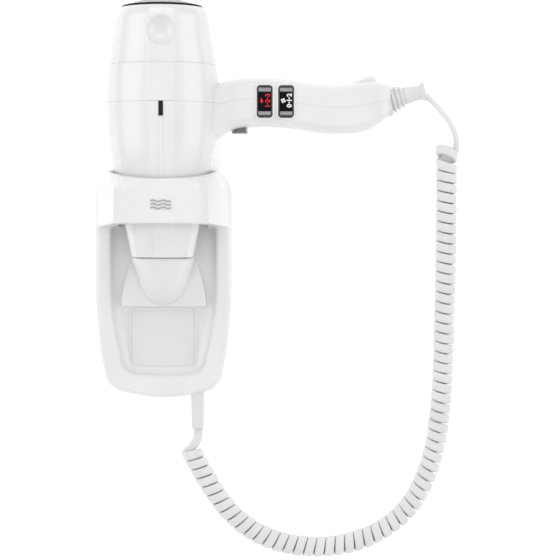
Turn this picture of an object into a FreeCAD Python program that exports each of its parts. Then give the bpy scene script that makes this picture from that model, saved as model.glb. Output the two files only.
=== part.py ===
import FreeCAD, Part
import math
import os

from FreeCAD import Vector

# Wall-mounted hair dryer: a handset standing nozzle down in a hoop on a wall holder, with a curly cord.
# Millimetres. The wall is the plane Y = 0 and the object stands in front of it, at Y < 0. +X is to the
# right of someone who faces the wall, +Z is up. X = 0 is the holder's middle, Z = 0 its mid-height.

# Driving dimensions of the handset
AXIS_Y = -50.0            # the barrel's axis, in front of the wall
WALL = 2.2                # thickness of the mouldings
MOUTH_Z = 22.8            # lower end of the nozzle
SHELL_SEAM_Z = 137.5      # the two shells part here on the barrel
CAP_SEAM_Z = 167.3        # the rear cap starts here
CAP_TOP_Z = 208.5
SEAM_GAP = 0.3
BARREL = [                # (z, radius) of the barrel's outside, from mouth to rear
    (MOUTH_Z, 22.0), (44.0, 27.3), (66.0, 32.2), (88.0, 36.8), (108.0, 40.4), (124.0, 42.2),
    (140.0, 42.8), (156.0, 41.9), (172.0, 39.9), (190.0, 36.7), (204.5, 34.2), (CAP_TOP_Z, 31.6),
]
HANDLE = [                # (x, middle z, height, depth) of the grip's outside
    (30.0, 128.5, 46.0, 33.0), (38.0, 130.2, 44.0, 32.0), (46.0, 134.6, 39.8, 31.0),
    (56.0, 137.9, 37.8, 30.5), (70.0, 139.0, 37.8, 30.5), (86.0, 138.7, 37.5, 30.5),
    (102.0, 137.0, 37.0, 30.5), (118.0, 134.5, 37.0, 30.5), (134.0, 134.2, 37.4, 31.0),
    (148.0, 135.5, 38.0, 31.0), (157.0, 137.6, 36.0, 29.5), (164.0, 139.4, 31.0, 26.5),
    (169.0, 140.6, 24.5, 22.5),
]
HANDLE_END_X = 169.0
SWITCH_X = (76.2, 92.1)   # heat rocker, speed rocker
SWITCH_Z = 139.5
SWITCH_WIDTH = 11.4
SWITCH_HEIGHT = 23.8
FACE_Y = -66.0            # front face of the switches' frames
ROCKER_PIVOT_Y = -63.0
ROCKER_REACH = 10.6
BUTTON_X = 58.0
BUTTON_LENGTH = 12.0
BUTTON_WIDTH = 8.0
BUTTON_LOW_Z = 115.4
BUTTON_DEPTH = 6.6        # the cap's height, most of it inside the grip
BUTTON_SWITCH_Z = 126.0   # underside of the switch above it
SHELL_SCREW_X = (112.0, 150.0)
HANDLE_BOOT_Z = 140.7
HANDLE_BOOT_TILT = 14.5   # degrees upwards
GRILLE_R = 47.5           # radius of the inlet grille's dome
FAN_LOW_Z = 149.0
FAN_HIGH_Z = 160.0
FAN_R = 34.5
FAN_BLADES = 9
MOTOR_R = 14.0

# Driving dimensions of the holder
HOLDER_HALF = 52.0
HOLDER_TOP_Z = 84.0
HOLDER_LOW_Z = -88.8
COVER_BACK_Y = -1.5
PANEL_Y = -12.0           # face of the recessed panel
RIM_Y = -22.0             # face of the rim around it
HOOP_FRONT_Y = -94.0
HOOP_LOW_BACK_Z = 43.0
HOOP_LOW_FRONT_Z = 50.0
SCREW_SPACING_X = 64.0
SCREW_SPACING_Z = 116.0
SCREW_MIDDLE_Z = -8.0
SCREW_HOLE_R = 2.25
ENTRY_Z = -42.0           # hole for the wall wiring
ENTRY_R = 8.0
HOLDER_BOOT_X = 26.7
HOLDER_BOOT_Y = -14.0
LEVER_PIVOT = (0.0, -7.6, 70.0)
COVER_SCREWS = [(-16.0, 30.0), (16.0, 30.0)]
DEFLECTOR_TOP_Z = 21.8
DEFLECTOR_LOW_Z = -17.0
TERMINAL_X = (-10, 0, 10)

# Cord: a flat cable wound into a curly cord between two plain leads
LEAD_R = 3.25
COIL_R = 7.75
UPPER_LEAD = [
    (197.6, -50.0, 145.2), (205.0, -50.0, 137.6), (213.2, -50.0, 128.6),
    (219.5, -50.0, 118.2), (221.4, -50.0, 104.6),
]
COIL = [
    (213.7, -50.0, 103.5), (214.6, -44.0, 36.0), (214.4, -36.0, -41.0), (213.5, -32.0, -88.5),
    (208.4, -28.0, -132.0), (193.5, -25.0, -169.4), (169.6, -23.0, -190.7), (142.6, -22.0, -201.7),
    (113.1, -20.0, -204.7), (81.4, -18.0, -198.8), (56.0, -17.0, -183.0), (36.9, -16.0, -159.0),
    (22.3, -15.5, -131.6),
]
LOWER_LEAD = [(26.7, -14.0, -112.5), (26.3, -14.2, -120.6), (23.0, -15.3, -130.9)]


# ---- small helpers ----------------------------------------------------------------------------------

def box(low, high):
    size = [b - a for a, b in zip(low, high)]
    return Part.makeBox(size[0], size[1], size[2], Vector(*low))


def rod(start, end, radius):
    start, end = Vector(*start), Vector(*end)
    return Part.makeCylinder(radius, start.distanceToPoint(end), start, end - start)


def upright(radius, low_z, high_z, x=0.0, y=AXIS_Y):
    return rod((x, y, low_z), (x, y, high_z), radius)


def turned(profile):
    """Solid of revolution about the barrel's axis from straight-sided (radius, z) points."""
    points = [Vector(r, AXIS_Y, z) for r, z in profile]
    face = Part.Face(Part.makePolygon(points + points[:1]))
    return face.revolve(Vector(0, AXIS_Y, 0), Vector(0, 0, 1), 360)


def barrel_radius(z, inset=0.0):
    """Radius of the barrel's outside at a height, between its listed points."""
    for (low, r_low), (high, r_high) in zip(BARREL, BARREL[1:]):
        if z <= high:
            return r_low + (r_high - r_low) * (z - low) / (high - low) - inset
    return BARREL[-1][1] - inset


def barrel_solid(inset, low_z, high_z):
    """The barrel's volume, its curved side moved in by inset and cut off at two heights."""
    curve = Part.BSplineCurve()
    curve.interpolate([Vector(r - inset, AXIS_Y, z) for z, r in BARREL])
    side = curve.toShape()
    top = Vector(0, AXIS_Y, BARREL[-1][0])
    foot = Vector(0, AXIS_Y, BARREL[0][0])
    ends = [Part.makeLine(curve.EndPoint, top), Part.makeLine(top, foot), Part.makeLine(foot, curve.StartPoint)]
    face = Part.Face(Part.Wire([side] + ends))
    whole = face.revolve(foot, Vector(0, 0, 1), 360)
    return whole.common(box((-60, AXIS_Y - 60, low_z), (60, AXIS_Y + 60, high_z)))


def rounded_section(x, middle_y, middle_z, depth, height, radius):
    """Rounded rectangle in a plane of constant x, as a closed wire of four lines and four arcs."""
    radius = min(radius, depth / 2 - 0.5, height / 2 - 0.5)
    y, z = depth / 2, height / 2
    half = radius * (1 - math.sqrt(0.5))
    edges = []
    corners = [(1, 1), (-1, 1), (-1, -1), (1, -1)]
    for index, (sy, sz) in enumerate(corners):
        upright_end = Vector(x, middle_y + sy * y, middle_z + sz * (z - radius))
        level_end = Vector(x, middle_y + sy * (y - radius), middle_z + sz * z)
        through = Vector(x, middle_y + sy * (y - half), middle_z + sz * (z - half))
        first, last = (upright_end, level_end) if index % 2 == 0 else (level_end, upright_end)
        edges.append(Part.Arc(first, through, last).toShape())
    joined = []
    for index, arc in enumerate(edges):
        following = edges[(index + 1) % 4]
        joined.append(arc)
        joined.append(Part.makeLine(arc.Vertexes[-1].Point, following.Vertexes[0].Point))
    return Part.Wire(joined)


def handle_solid(inset):
    wires = []
    for x, middle_z, height, depth in HANDLE:
        end = x - inset if x == HANDLE_END_X else x
        wires.append(rounded_section(end, AXIS_Y, middle_z, depth - 2 * inset, height - 2 * inset, 11.0 - inset))
    return Part.makeLoft(wires, True, False)


def outline_face(points, y):
    """Face in a plane of constant y from a mixed outline: pairs are corners, triples are (via, end) arcs."""
    here = Vector(points[0][0], y, points[0][1])
    start = here
    edges = []
    for step in points[1:]:
        if len(step) == 2:
            there = Vector(step[0], y, step[1])
            edges.append(Part.makeLine(here, there))
        else:
            via, there = Vector(step[0], y, step[1]), Vector(step[2], y, step[3])
            edges.append(Part.Arc(here, via, there).toShape())
        here = there
    if here.distanceToPoint(start) > 1e-6:
        edges.append(Part.makeLine(here, start))
    return Part.Face(Part.Wire(edges))


def extruded(face, length):
    return face.extrude(Vector(0, length, 0))


def shrunk(face, inset):
    return Part.Face(face.OuterWire.makeOffset2D(-inset))


def tube_along(points, radius):
    """A round tube along straight runs joined by tangent arcs, and the arcs' radii."""
    corners = [Vector(*p) for p in points]
    edges, radii = [], []
    here = corners[0]
    for before, corner, after in zip(corners, corners[1:], corners[2:]):
        back, ahead = before - corner, after - corner
        shorter = min(back.Length, ahead.Length)
        back.normalize()
        ahead.normalize()
        half_turn = (math.pi - back.getAngle(ahead)) / 2
        cut = 0.45 * shorter
        radii.append(cut / math.tan(half_turn))
        begin, end = corner + back * cut, corner + ahead * cut
        bisector = back + ahead
        bisector.normalize()
        middle = corner + bisector * (radii[-1] / math.cos(half_turn) - radii[-1])
        edges.append(Part.LineSegment(here, begin).toShape())
        edges.append(Part.Arc(begin, middle, end).toShape())
        here = end
    edges.append(Part.LineSegment(here, corners[-1]).toShape())
    path = Part.Wire(edges)
    ring = Part.Wire([Part.Circle(corners[0], corners[1] - corners[0], radius).toShape()])
    return path.makePipeShell([ring], True, False), path.Length, radii


def union(shapes):
    joined = shapes[0]
    for shape in shapes[1:]:
        joined = joined.fuse(shape)
    return joined.removeSplitter()


def group(shapes):
    return Part.makeCompound(shapes)


def around(shape, count):
    """Copies of a shape turned about the barrel's axis."""
    copies = []
    for index in range(count):
        copy = shape.copy()
        copy.rotate(Vector(0, AXIS_Y, 0), Vector(0, 0, 1), 360.0 * index / count)
        copies.append(copy)
    return copies


# ---- holder ------------------------------------------------------------------------------------------

def holder_face(y):
    half, low = HOLDER_HALF, HOLDER_LOW_Z
    return outline_face([
        (-half + 16, HOLDER_TOP_Z), (half - 16, HOLDER_TOP_Z),
        (half - 4.7, HOLDER_TOP_Z - 4.7, half, HOLDER_TOP_Z - 16), (half, 12.0),
        (half - 1.8, -36.0, half - 6.2, -66.0), (half - 11.2, -78.0, half - 23.0, low + 4.0),
        (0.0, low, -half + 23.0, low + 4.0), (-half + 11.2, -78.0, -half + 6.2, -66.0),
        (-half + 1.8, -36.0, -half, 12.0), (-half, HOLDER_TOP_Z - 16),
        (-half + 4.7, HOLDER_TOP_Z - 4.7, -half + 16, HOLDER_TOP_Z),
    ], y)


def recess_face(y):
    top, low = HOLDER_TOP_Z + 5, -71.0
    return outline_face([
        (-40.7, top), (40.7, top), (40.7, 12.0), (39.6, -26.0, 33.6, -55.0),
        (29.5, -66.2, 19.0, -70.2), (0.0, low, -19.0, -70.2), (-29.5, -66.2, -33.6, -55.0),
        (-39.6, -26.0, -40.7, 12.0),
    ], y)


def screw_places():
    for sx in (-1, 1):
        for sz in (-1, 1):
            yield sx * SCREW_SPACING_X / 2, SCREW_MIDDLE_Z + sz * SCREW_SPACING_Z / 2


def base_plate():
    plate = extruded(shrunk(holder_face(0), 3.2), -3.0)
    for x, z in screw_places():
        plate = plate.cut(rod((x, 1, z), (x, -4, z), SCREW_HOLE_R))
    plate = plate.cut(rod((0, 1, ENTRY_Z), (0, -4, ENTRY_Z), ENTRY_R))
    posts = [rod((x, -3, z), (x, -9.0, z), 3.5) for x, z in COVER_SCREWS]
    plate = union([plate] + posts)
    for x, z in COVER_SCREWS:
        plate = plate.cut(rod((x, -4, z), (x, -10, z), 1.2))
    return plate


def front_cover():
    outside = extruded(holder_face(COVER_BACK_Y), RIM_Y - COVER_BACK_Y)
    edges = [e for e in outside.Edges if all(abs(v.Point.y - RIM_Y) < 1e-6 for v in e.Vertexes)]
    outside = outside.makeFillet(3.5, edges)
    body = outside.cut(extruded(recess_face(PANEL_Y), RIM_Y - PANEL_Y - 1))
    panel_back = PANEL_Y + WALL
    inside = extruded(shrunk(holder_face(COVER_BACK_Y + 1), WALL), panel_back - COVER_BACK_Y - 1)
    rim_room = extruded(shrunk(holder_face(COVER_BACK_Y), WALL), RIM_Y + WALL - COVER_BACK_Y)
    rim_room = rim_room.cut(extruded(Part.Face(recess_face(0).OuterWire.makeOffset2D(WALL)), -40))
    body = body.cut(inside).cut(rim_room)
    deflector_room = box((-18, PANEL_Y - 1, -13), (18, PANEL_Y + 4, 12))
    lever_slot = box((-5, PANEL_Y - 1, 53), (5, PANEL_Y + 4, 73))
    panel_room = box((-22.5, PANEL_Y - 1, -62), (21.0, PANEL_Y + 4, -22.5))
    body = body.cut(deflector_room).cut(lever_slot).cut(panel_room)
    for x, z in COVER_SCREWS:
        body = body.cut(rod((x, PANEL_Y - 3, z), (x, PANEL_Y + 4, z), 1.8))
    boot_hole = box((HOLDER_BOOT_X - 4.7, HOLDER_BOOT_Y - 4.2, -95),
                   (HOLDER_BOOT_X + 4.7, HOLDER_BOOT_Y + 4.2, -78))
    return body.cut(boot_hole)


def hoop_plan(z, inset):
    """The hoop's outline seen from above: wide at the wall, a gently curved front, rounded corners."""
    side, corner_y, front = HOLDER_HALF - 1.0 - inset, -85.0 + inset, HOOP_FRONT_Y + inset
    shoulder = 36.5 - inset
    back = RIM_Y - 0.05
    points = [
        Vector(-side, back, z), Vector(-shoulder, corner_y, z), Vector(-31.0 + inset, front + 2.5, z),
        Vector(0, front, z), Vector(31.0 - inset, front + 2.5, z), Vector(shoulder, corner_y, z),
        Vector(side, back, z),
    ]
    edges = [Part.makeLine(points[0], points[1])]
    edges.append(Part.Arc(points[1], (points[1] + points[2]) * 0.5 + Vector(-0.9, -0.9, 0), points[2]).toShape())
    edges.append(Part.Arc(points[2], points[3], points[4]).toShape())
    edges.append(Part.Arc(points[4], (points[4] + points[5]) * 0.5 + Vector(0.9, -0.9, 0), points[5]).toShape())
    edges.append(Part.makeLine(points[5], points[6]))
    edges.append(Part.makeLine(points[6], points[0]))
    return Part.Face(Part.Wire(edges))


def holder_hoop():
    chamfer_z, lip_z = 74.0, 88.0
    lower = hoop_plan(40, 0.0).extrude(Vector(0, 0, chamfer_z - 40))
    upper = Part.makeLoft([hoop_plan(chamfer_z, 0.0).OuterWire, hoop_plan(lip_z, 9.0).OuterWire], True, True)
    body = union([lower, upper])
    body = body.cut(box((-60, RIM_Y - 0.05, 0), (60, 0, 120)))
    slope = Part.Face(Part.makePolygon([
        Vector(-60, -10, HOOP_LOW_BACK_Z), Vector(-60, -120, HOOP_LOW_FRONT_Z + 1.5),
        Vector(-60, -120, 30), Vector(-60, -10, 30), Vector(-60, -10, HOOP_LOW_BACK_Z)]))
    body = body.cut(slope.extrude(Vector(120, 0, 0)))
    dip = Part.Face(Part.makePolygon([
        Vector(-60, -50, lip_z), Vector(-60, -110, lip_z - 6.5), Vector(-60, -110, 100),
        Vector(-60, -50, 100), Vector(-60, -50, lip_z)]))
    body = body.cut(dip.extrude(Vector(120, 0, 0)))
    seat_z = 60.0
    seat_r = barrel_radius(seat_z) + 0.35
    bore = turned([
        (0, 36), (34.0, 36), (34.6, seat_z - 1.5), (seat_r, seat_z - 1.5), (seat_r + 0.66, seat_z + 1.5),
        (36.6, seat_z + 1.5), (39.0, lip_z - 1), (39.0, 100), (0, 100)])
    body = body.cut(bore)
    channel = box((-33.5, -50, 36), (33.5, 0, 100))
    body = body.cut(channel)
    return largest(body)


def deflector_form(grow, back_y):
    """An overhanging half scoop that runs down into the panel, over a flared wedge."""
    height = DEFLECTOR_TOP_Z - DEFLECTOR_LOW_Z
    scoop, wedge = [], []
    for drop in (0.0, 0.3, 0.55, 0.75, 0.88, 0.96):
        radius = 23.2 * (1 - 0.45 * drop) * math.sqrt(1 - drop ** 8) + grow
        centre = Vector(0, -36.0 + 23.0 * drop, DEFLECTOR_TOP_Z - height * drop + (grow if drop == 0 else 0))
        scoop.append(Part.Wire([Part.Circle(centre, Vector(0, 0, 1), radius).toShape()]))
    for drop in (0.0, 0.25, 0.5, 0.75, 1.0):
        half = 23.5 + 9.5 * (1 - (1 - drop) ** 1.8) + grow
        front = -14.5 - 4.5 * drop - grow
        z = DEFLECTOR_TOP_Z - height * drop
        points = [(-half, back_y), (half, back_y), (half, front), (-half, front), (-half, back_y)]
        wedge.append(Part.makePolygon([Vector(x, y, z) for x, y in points]))
    form = union([Part.makeLoft(scoop, True, True), Part.makeLoft(wedge, True, True)])
    return form.common(box((-60, -90, DEFLECTOR_LOW_Z - grow), (60, back_y, DEFLECTOR_TOP_Z + grow)))


def air_deflector():
    form = deflector_form(0.0, PANEL_Y - 0.02)
    return largest(form.cut(deflector_form(-WALL, PANEL_Y + 2)))


def blank_panel():
    face = outline_face([
        (-23.1, -20.2), (21.6, -20.2), (23.4, -20.9, 24.0, -22.6), (24.0, -62.0), (23.4, -63.7, 21.6, -64.3),
        (-23.1, -64.3), (-24.9, -63.7, -25.5, -62.0), (-25.5, -22.6), (-24.9, -20.9, -23.1, -20.2)],
        PANEL_Y - 0.02)
    return extruded(face, -1.6)


def terminal_block():
    block = box((-15, -13, -9), (15, -5.5, 3))
    for x in TERMINAL_X:
        block = block.cut(rod((x, -13.5, -3), (x, -7.5, -3), 2.0))
    return block


def terminal_screws():
    screws = []
    for x in TERMINAL_X:
        head = rod((x, -9.5, -3), (x, -7.6, -3), 1.9).cut(box((x - 3, -9.6, -3.4), (x + 3, -8.9, -2.6)))
        screws.append(head)
    return group(screws)


def cable_clamp():
    bar = box((10, -7.4, -58), (30, -5.2, -52)).fuse(box((10, -5.2, -58), (14, -3.05, -52)))
    return bar.fuse(box((26, -5.2, -58), (30, -3.05, -52))).removeSplitter()


def clamp_screws():
    return group([screw((x, -7.45, -55), (0, -1, 0), 1.9, 1.4) for x in (12, 28)])


def screw(foot, outwards, head_r, head_height):
    """A pan-head screw's head with a cross recess, standing on foot."""
    head = Part.makeCylinder(head_r, head_height, Vector(*foot), Vector(*outwards))
    top = Vector(*foot) + Vector(*outwards) * head_height
    for first, second in ((head_r * 1.2, 0.5), (0.5, head_r * 1.2)):
        if abs(outwards[1]) > 0.5:
            slot = box((top.x - first / 2, top.y - 0.6, top.z - second / 2),
                       (top.x + first / 2, top.y + 0.6, top.z + second / 2))
        else:
            slot = box((top.x - first / 2, top.y - second / 2, top.z - 0.6),
                       (top.x + first / 2, top.y + second / 2, top.z + 0.6))
        head = head.cut(slot)
    return head


def cover_screws():
    return group([screw((x, PANEL_Y - 0.02, z), (0, -1, 0), 2.6, 1.4) for x, z in COVER_SCREWS])


def safety_switch():
    body = box((-8, -9.0, 40), (8, -3.05, 51))
    return body.fuse(box((-1.2, -9.6, 47), (1.2, -9.0, 49))).removeSplitter()


def safety_lever():
    """A rocking paddle behind the barrel: the standing handset holds it in."""
    nose = [(AXIS_Y + barrel_radius(z) + 0.5, z) for z in (62.0, 57.0)]
    outline = [(-6.2, 72.0), (-9.2, 72.0)] + nose + [(-10.5, 54.5), (-8.2, 54.5), (-6.2, 68.0)]
    points = [Vector(-3.5, y, z) for y, z in outline]
    paddle = Part.Face(Part.makePolygon(points + points[:1])).extrude(Vector(7, 0, 0))
    _, pivot_y, pivot_z = LEVER_PIVOT
    pivot = rod((-6.5, pivot_y, pivot_z), (6.5, pivot_y, pivot_z), 1.2)
    return paddle.fuse(pivot).removeSplitter()


def lever_bracket():
    """Two ears that carry the lever's pivot, standing on the base plate."""
    _, pivot_y, pivot_z = LEVER_PIVOT
    ears = []
    for side in (-1, 1):
        ear = box((min(side * 4.6, side * 6.4), -9.4, 67.2), (max(side * 4.6, side * 6.4), -3.05, 72.8))
        ears.append(ear.cut(rod((-8, pivot_y, pivot_z), (8, pivot_y, pivot_z), 1.25)))
    return group(ears)


def holder_cord_boot():
    def ring(width, depth, z):
        x, y = HOLDER_BOOT_X, HOLDER_BOOT_Y
        points = [(x - width / 2, y - depth / 2), (x + width / 2, y - depth / 2),
                  (x + width / 2, y + depth / 2), (x - width / 2, y + depth / 2)]
        return Part.makePolygon([Vector(a, b, z) for a, b in points + points[:1]])
    sleeve = Part.makeLoft([ring(9.2, 8.2, -80.0), ring(8.6, 7.6, -112.3)], True, True)
    upright_edges = [e for e in sleeve.Edges if e.Length > 30]
    sleeve = sleeve.makeFillet(2.2, upright_edges)
    collar = box((HOLDER_BOOT_X - 6.5, HOLDER_BOOT_Y - 4.0, -80),
                 (HOLDER_BOOT_X + 6.5, HOLDER_BOOT_Y + 4.0, -77.5))
    return sleeve.fuse(collar).removeSplitter()


# ---- handset shells -----------------------------------------------------------------------------------

def parting_tool():
    """Everything behind the handset's parting line: level on the barrel, following the grip."""
    curve = Part.BSplineCurve()
    curve.interpolate([Vector(x, 0, z) for x, z in (
        (44.0, SHELL_SEAM_Z), (54.0, 140.2), (66.0, 141.8), (84.0, 140.8), (102.0, 138.0), (122.0, 135.6),
        (140.0, 135.4), (155.0, 137.8), (176.0, 142.6))])
    start, end = curve.StartPoint, curve.EndPoint
    corners = [end, Vector(176, 0, 260), Vector(-80, 0, 260), Vector(-80, 0, SHELL_SEAM_Z), start]
    lines = [Part.makeLine(a, b) for a, b in zip(corners, corners[1:])]
    face = Part.Face(Part.Wire([curve.toShape()] + lines))
    return face.extrude(Vector(0, -200, 0))


def switch_room(x):
    half_x, half_z = SWITCH_WIDTH / 2 + 0.1, SWITCH_HEIGHT / 2 + 0.1
    return box((x - half_x, FACE_Y - 5, SWITCH_Z - half_z), (x + half_x, AXIS_Y - 5, SWITCH_Z + half_z))


def button_form(grow, low_z, high_z):
    length, width = BUTTON_LENGTH + 2 * grow, BUTTON_WIDTH + 2 * grow
    form = box((BUTTON_X - length / 2, AXIS_Y - width / 2, low_z),
               (BUTTON_X + length / 2, AXIS_Y + width / 2, high_z))
    return form.makeFillet(2.0 + grow, [e for e in form.Edges if abs(e.Length - (high_z - low_z)) < 1e-6])


def shell_pair():
    outer = barrel_solid(0.0, MOUTH_Z, CAP_SEAM_Z).fuse(handle_solid(0.0))
    inner = barrel_solid(WALL, MOUTH_Z - 5, CAP_SEAM_Z + 5).fuse(handle_solid(WALL))
    body = outer.cut(inner)
    for x in SHELL_SCREW_X:
        boss = upright(3.2, 110, 160, x=x).common(handle_solid(WALL / 2))
        body = body.fuse(boss)
        body = body.cut(upright(1.3, 122, 152, x=x)).cut(upright(2.6, 149.5, 165, x=x))
    for x in SWITCH_X:
        body = body.cut(switch_room(x))
    body = body.cut(button_form(0.3, BUTTON_LOW_Z - 4, BUTTON_LOW_Z + 8))
    slot = box((-2.0, AXIS_Y - 50, 126.6), (2.0, AXIS_Y - 30, SHELL_SEAM_Z))
    body = body.cut(slot)
    body = body.cut(boot_form(0.05, 5.0))
    tool = parting_tool()
    gap = tool.copy()
    gap.translate(Vector(0, 0, -SEAM_GAP))
    rear = body.common(tool)
    front = body.cut(gap)
    return largest(front), largest(rear)


def largest(shape):
    return max(shape.Solids, key=lambda solid: solid.Volume)


def slot_insert():
    face_y = AXIS_Y - barrel_radius(132.0)
    body = box((-1.95, face_y + 0.6, 126.7), (1.95, face_y + 3.6, SHELL_SEAM_Z - 0.35))
    return body


def hanging_lug():
    """A low fin on the rear edge of the grip, near its end."""
    face = outline_face([
        (138.0, 151.0), (146.0, 155.4), (154.6, 158.9), (157.0, 159.3, 158.6, 158.2), (162.5, 153.5),
        (150.0, 150.0), (138.0, 151.0)], AXIS_Y + 3.0)
    fin = extruded(face, -6.0)
    return largest(fin.cut(handle_solid(-0.02)))


def boot_form(grow, inside):
    """Bellows, plain sleeve and end flange of the cord's strain relief, about its tilted axis."""
    rings = [(0.0, 11.0), (1.3, 11.0), (1.3, 8.2), (2.3, 8.2), (2.3, 10.2), (4.3, 10.2), (4.3, 7.4), (5.3, 7.4),
             (5.3, 9.3), (7.3, 9.3), (7.3, 6.7), (8.3, 6.7), (8.3, 8.4), (10.2, 8.4), (10.2, 6.0), (11.2, 6.0),
             (11.2, 7.2), (13.0, 6.4), (24.5, 5.9), (25.5, 7.3), (28.6, 7.3), (28.6, 0.0)]
    if inside:
        rings = [(0.0, 11.0), (inside, 11.0), (inside, 0.0)]
    points = [Vector(a, 0, r + grow if r else 0.0) for a, r in rings]
    points = [Vector(-3.0, 0, 0.0), Vector(-3.0, 0, 9.0 + grow), Vector(0.0, 0, 9.0 + grow)] + points
    face = Part.Face(Part.makePolygon(points + points[:1]))
    solid = face.revolve(Vector(0, 0, 0), Vector(1, 0, 0), 360)
    solid.rotate(Vector(0, 0, 0), Vector(0, 1, 0), -HANDLE_BOOT_TILT)
    solid.translate(Vector(HANDLE_END_X + 0.3, AXIS_Y, HANDLE_BOOT_Z))
    return solid


def handle_cord_boot():
    return boot_form(0.0, 0.0)


# ---- rear cap, fan and motor --------------------------------------------------------------------------

def rear_cap():
    low = CAP_SEAM_Z + SEAM_GAP
    outer = barrel_solid(0.0, low, CAP_TOP_Z)
    inner = barrel_solid(WALL, low - 5, CAP_TOP_Z + 5)
    dimple = Vector(0, AXIS_Y - 36.7 - 5.5, 190.3)
    outer = outer.cut(Part.makeSphere(11.0, dimple))
    inner = inner.cut(Part.makeSphere(11.0 + WALL, dimple))
    inlet = upright(28.6, 200, 212)
    spigot_r = barrel_radius(CAP_SEAM_Z, WALL) - 0.4
    spigot = upright(spigot_r, low - 6, low + 4).cut(upright(spigot_r - 1.6, low - 7, low + 5))
    link = upright(spigot_r + 1.0, low + 0.2, low + 3).cut(upright(spigot_r - 1.0, low, low + 4))
    return largest(union([outer.cut(inner).cut(inlet), spigot, link]))


def chrome_ring():
    low = CAP_TOP_Z + 0.02
    return turned([(28.4, low), (31.2, low), (31.5, low + 0.7), (31.0, low + 1.9), (29.6, low + 2.5),
                   (28.4, low + 1.6)])


def inlet_grille():
    rim = 28.2
    low = CAP_TOP_Z + 1.2
    centre = Vector(0, AXIS_Y, low - math.sqrt(GRILLE_R ** 2 - rim ** 2))
    dome = Part.makeSphere(GRILLE_R, centre).cut(Part.makeSphere(GRILLE_R - 0.9, centre))
    return dome.common(upright(rim, low, low + 30))


def dust_filter():
    return upright(27.8, CAP_TOP_Z - 2.5, CAP_TOP_Z - 1.0)


def filter_frame():
    """Spoked frame that holds the dust filter against the grille."""
    low = CAP_TOP_Z - 4.6
    ring = upright(28.3, low, low + 2.0).cut(upright(26.0, low - 1, low + 3))
    spokes = [box((-27, AXIS_Y - 0.8, low), (27, AXIS_Y + 0.8, low + 2.0)),
              box((-0.8, AXIS_Y - 27, low), (0.8, AXIS_Y + 27, low + 2.0))]
    return union([ring] + spokes)


def fan_impeller():
    hub = upright(12.0, FAN_LOW_Z, FAN_HIGH_Z).cut(upright(10.4, FAN_LOW_Z - 1, FAN_HIGH_Z - 2.0))
    boss = upright(3.0, FAN_LOW_Z, FAN_HIGH_Z - 1)
    blade = box((11.0, AXIS_Y - 0.7, FAN_LOW_Z - 2.5), (FAN_R, AXIS_Y + 0.7, FAN_HIGH_Z + 2.5))
    blade.rotate(Vector(0, AXIS_Y, (FAN_LOW_Z + FAN_HIGH_Z) / 2), Vector(1, 0, 0), 42.0)
    blade = blade.common(upright(FAN_R, FAN_LOW_Z, FAN_HIGH_Z)).cut(upright(11.0, 100, 200))
    body = union([hub, boss] + around(blade, FAN_BLADES))
    return body.cut(upright(1.2, FAN_LOW_Z - 5, FAN_HIGH_Z - 3))


def motor_shaft():
    return upright(1.2, 124.0, FAN_HIGH_Z - 3.2)


def motor_can():
    can = upright(MOTOR_R, 118.0, 145.0)
    nose = upright(4.0, 145.0, 147.0)
    return union([can, nose]).cut(upright(1.25, 121.0, 150.0))


def motor_mount():
    sleeve = upright(16.0, 120.0, 143.0).cut(upright(MOTOR_R + 0.05, 110, 150))
    outer = upright(38.6, 124.0, 140.0).cut(upright(37.2, 120, 150))
    vane = box((15.5, AXIS_Y - 0.7, 125.0), (37.6, AXIS_Y + 0.7, 139.0))
    return union([sleeve, outer] + around(vane, 7))


# ---- heater -------------------------------------------------------------------------------------------

def heat_shield():
    return turned([(23.1, 44.0), (23.7, 44.0), (35.3, 112.0), (34.7, 112.0)])


def heater_frame():
    half = [(0, 46.0), (16.5, 46.0), (27.5, 111.0), (0, 111.0)]
    boards = []
    for index in range(2):
        points = [Vector(r, AXIS_Y - 0.5, z) for r, z in half]
        points += [Vector(-r, AXIS_Y - 0.5, z) for r, z in reversed(half[1:3])]
        board = Part.Face(Part.makePolygon(points + points[:1])).extrude(Vector(0, 1.0, 0))
        board.rotate(Vector(0, AXIS_Y, 0), Vector(0, 0, 1), 90 * index)
        boards.append(board)
    return union(boards)


def heater_coil():
    loops = []
    for index in range(9):
        z = 50.0 + 7.0 * index
        radius = 16.5 + 11.0 * (z - 46.0) / 65.0 + 2.0
        loops.append(Part.makeTorus(radius, 1.1, Vector(0, AXIS_Y, z), Vector(0, 0, 1)))
    return group(loops)


def thermostat():
    body = box((2.0, AXIS_Y - 8.0, 60.0), (8.0, AXIS_Y - 1.5, 72.0))
    return body.makeFillet(0.8, body.Edges)


def thermal_fuse():
    return rod((-5.0, AXIS_Y + 5.0, 62.0), (-5.0, AXIS_Y + 5.0, 74.0), 2.0)


def outlet_grille():
    low, high = 31.0, 33.6
    outer_r = barrel_radius(low, WALL) - 0.15
    rings = [upright(outer_r, low, high).cut(upright(outer_r - 1.5, low - 1, high + 1))]
    for radius in (16.0, 11.0, 6.0):
        rings.append(upright(radius, low, high).cut(upright(radius - 1.0, low - 1, high + 1)))
    bar = box((2.5, AXIS_Y - 0.5, low), (outer_r - 0.5, AXIS_Y + 0.5, high))
    hub = upright(3.0, low, high)
    return union(rings + [hub] + around(bar, 8))


# ---- controls -----------------------------------------------------------------------------------------

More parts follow.
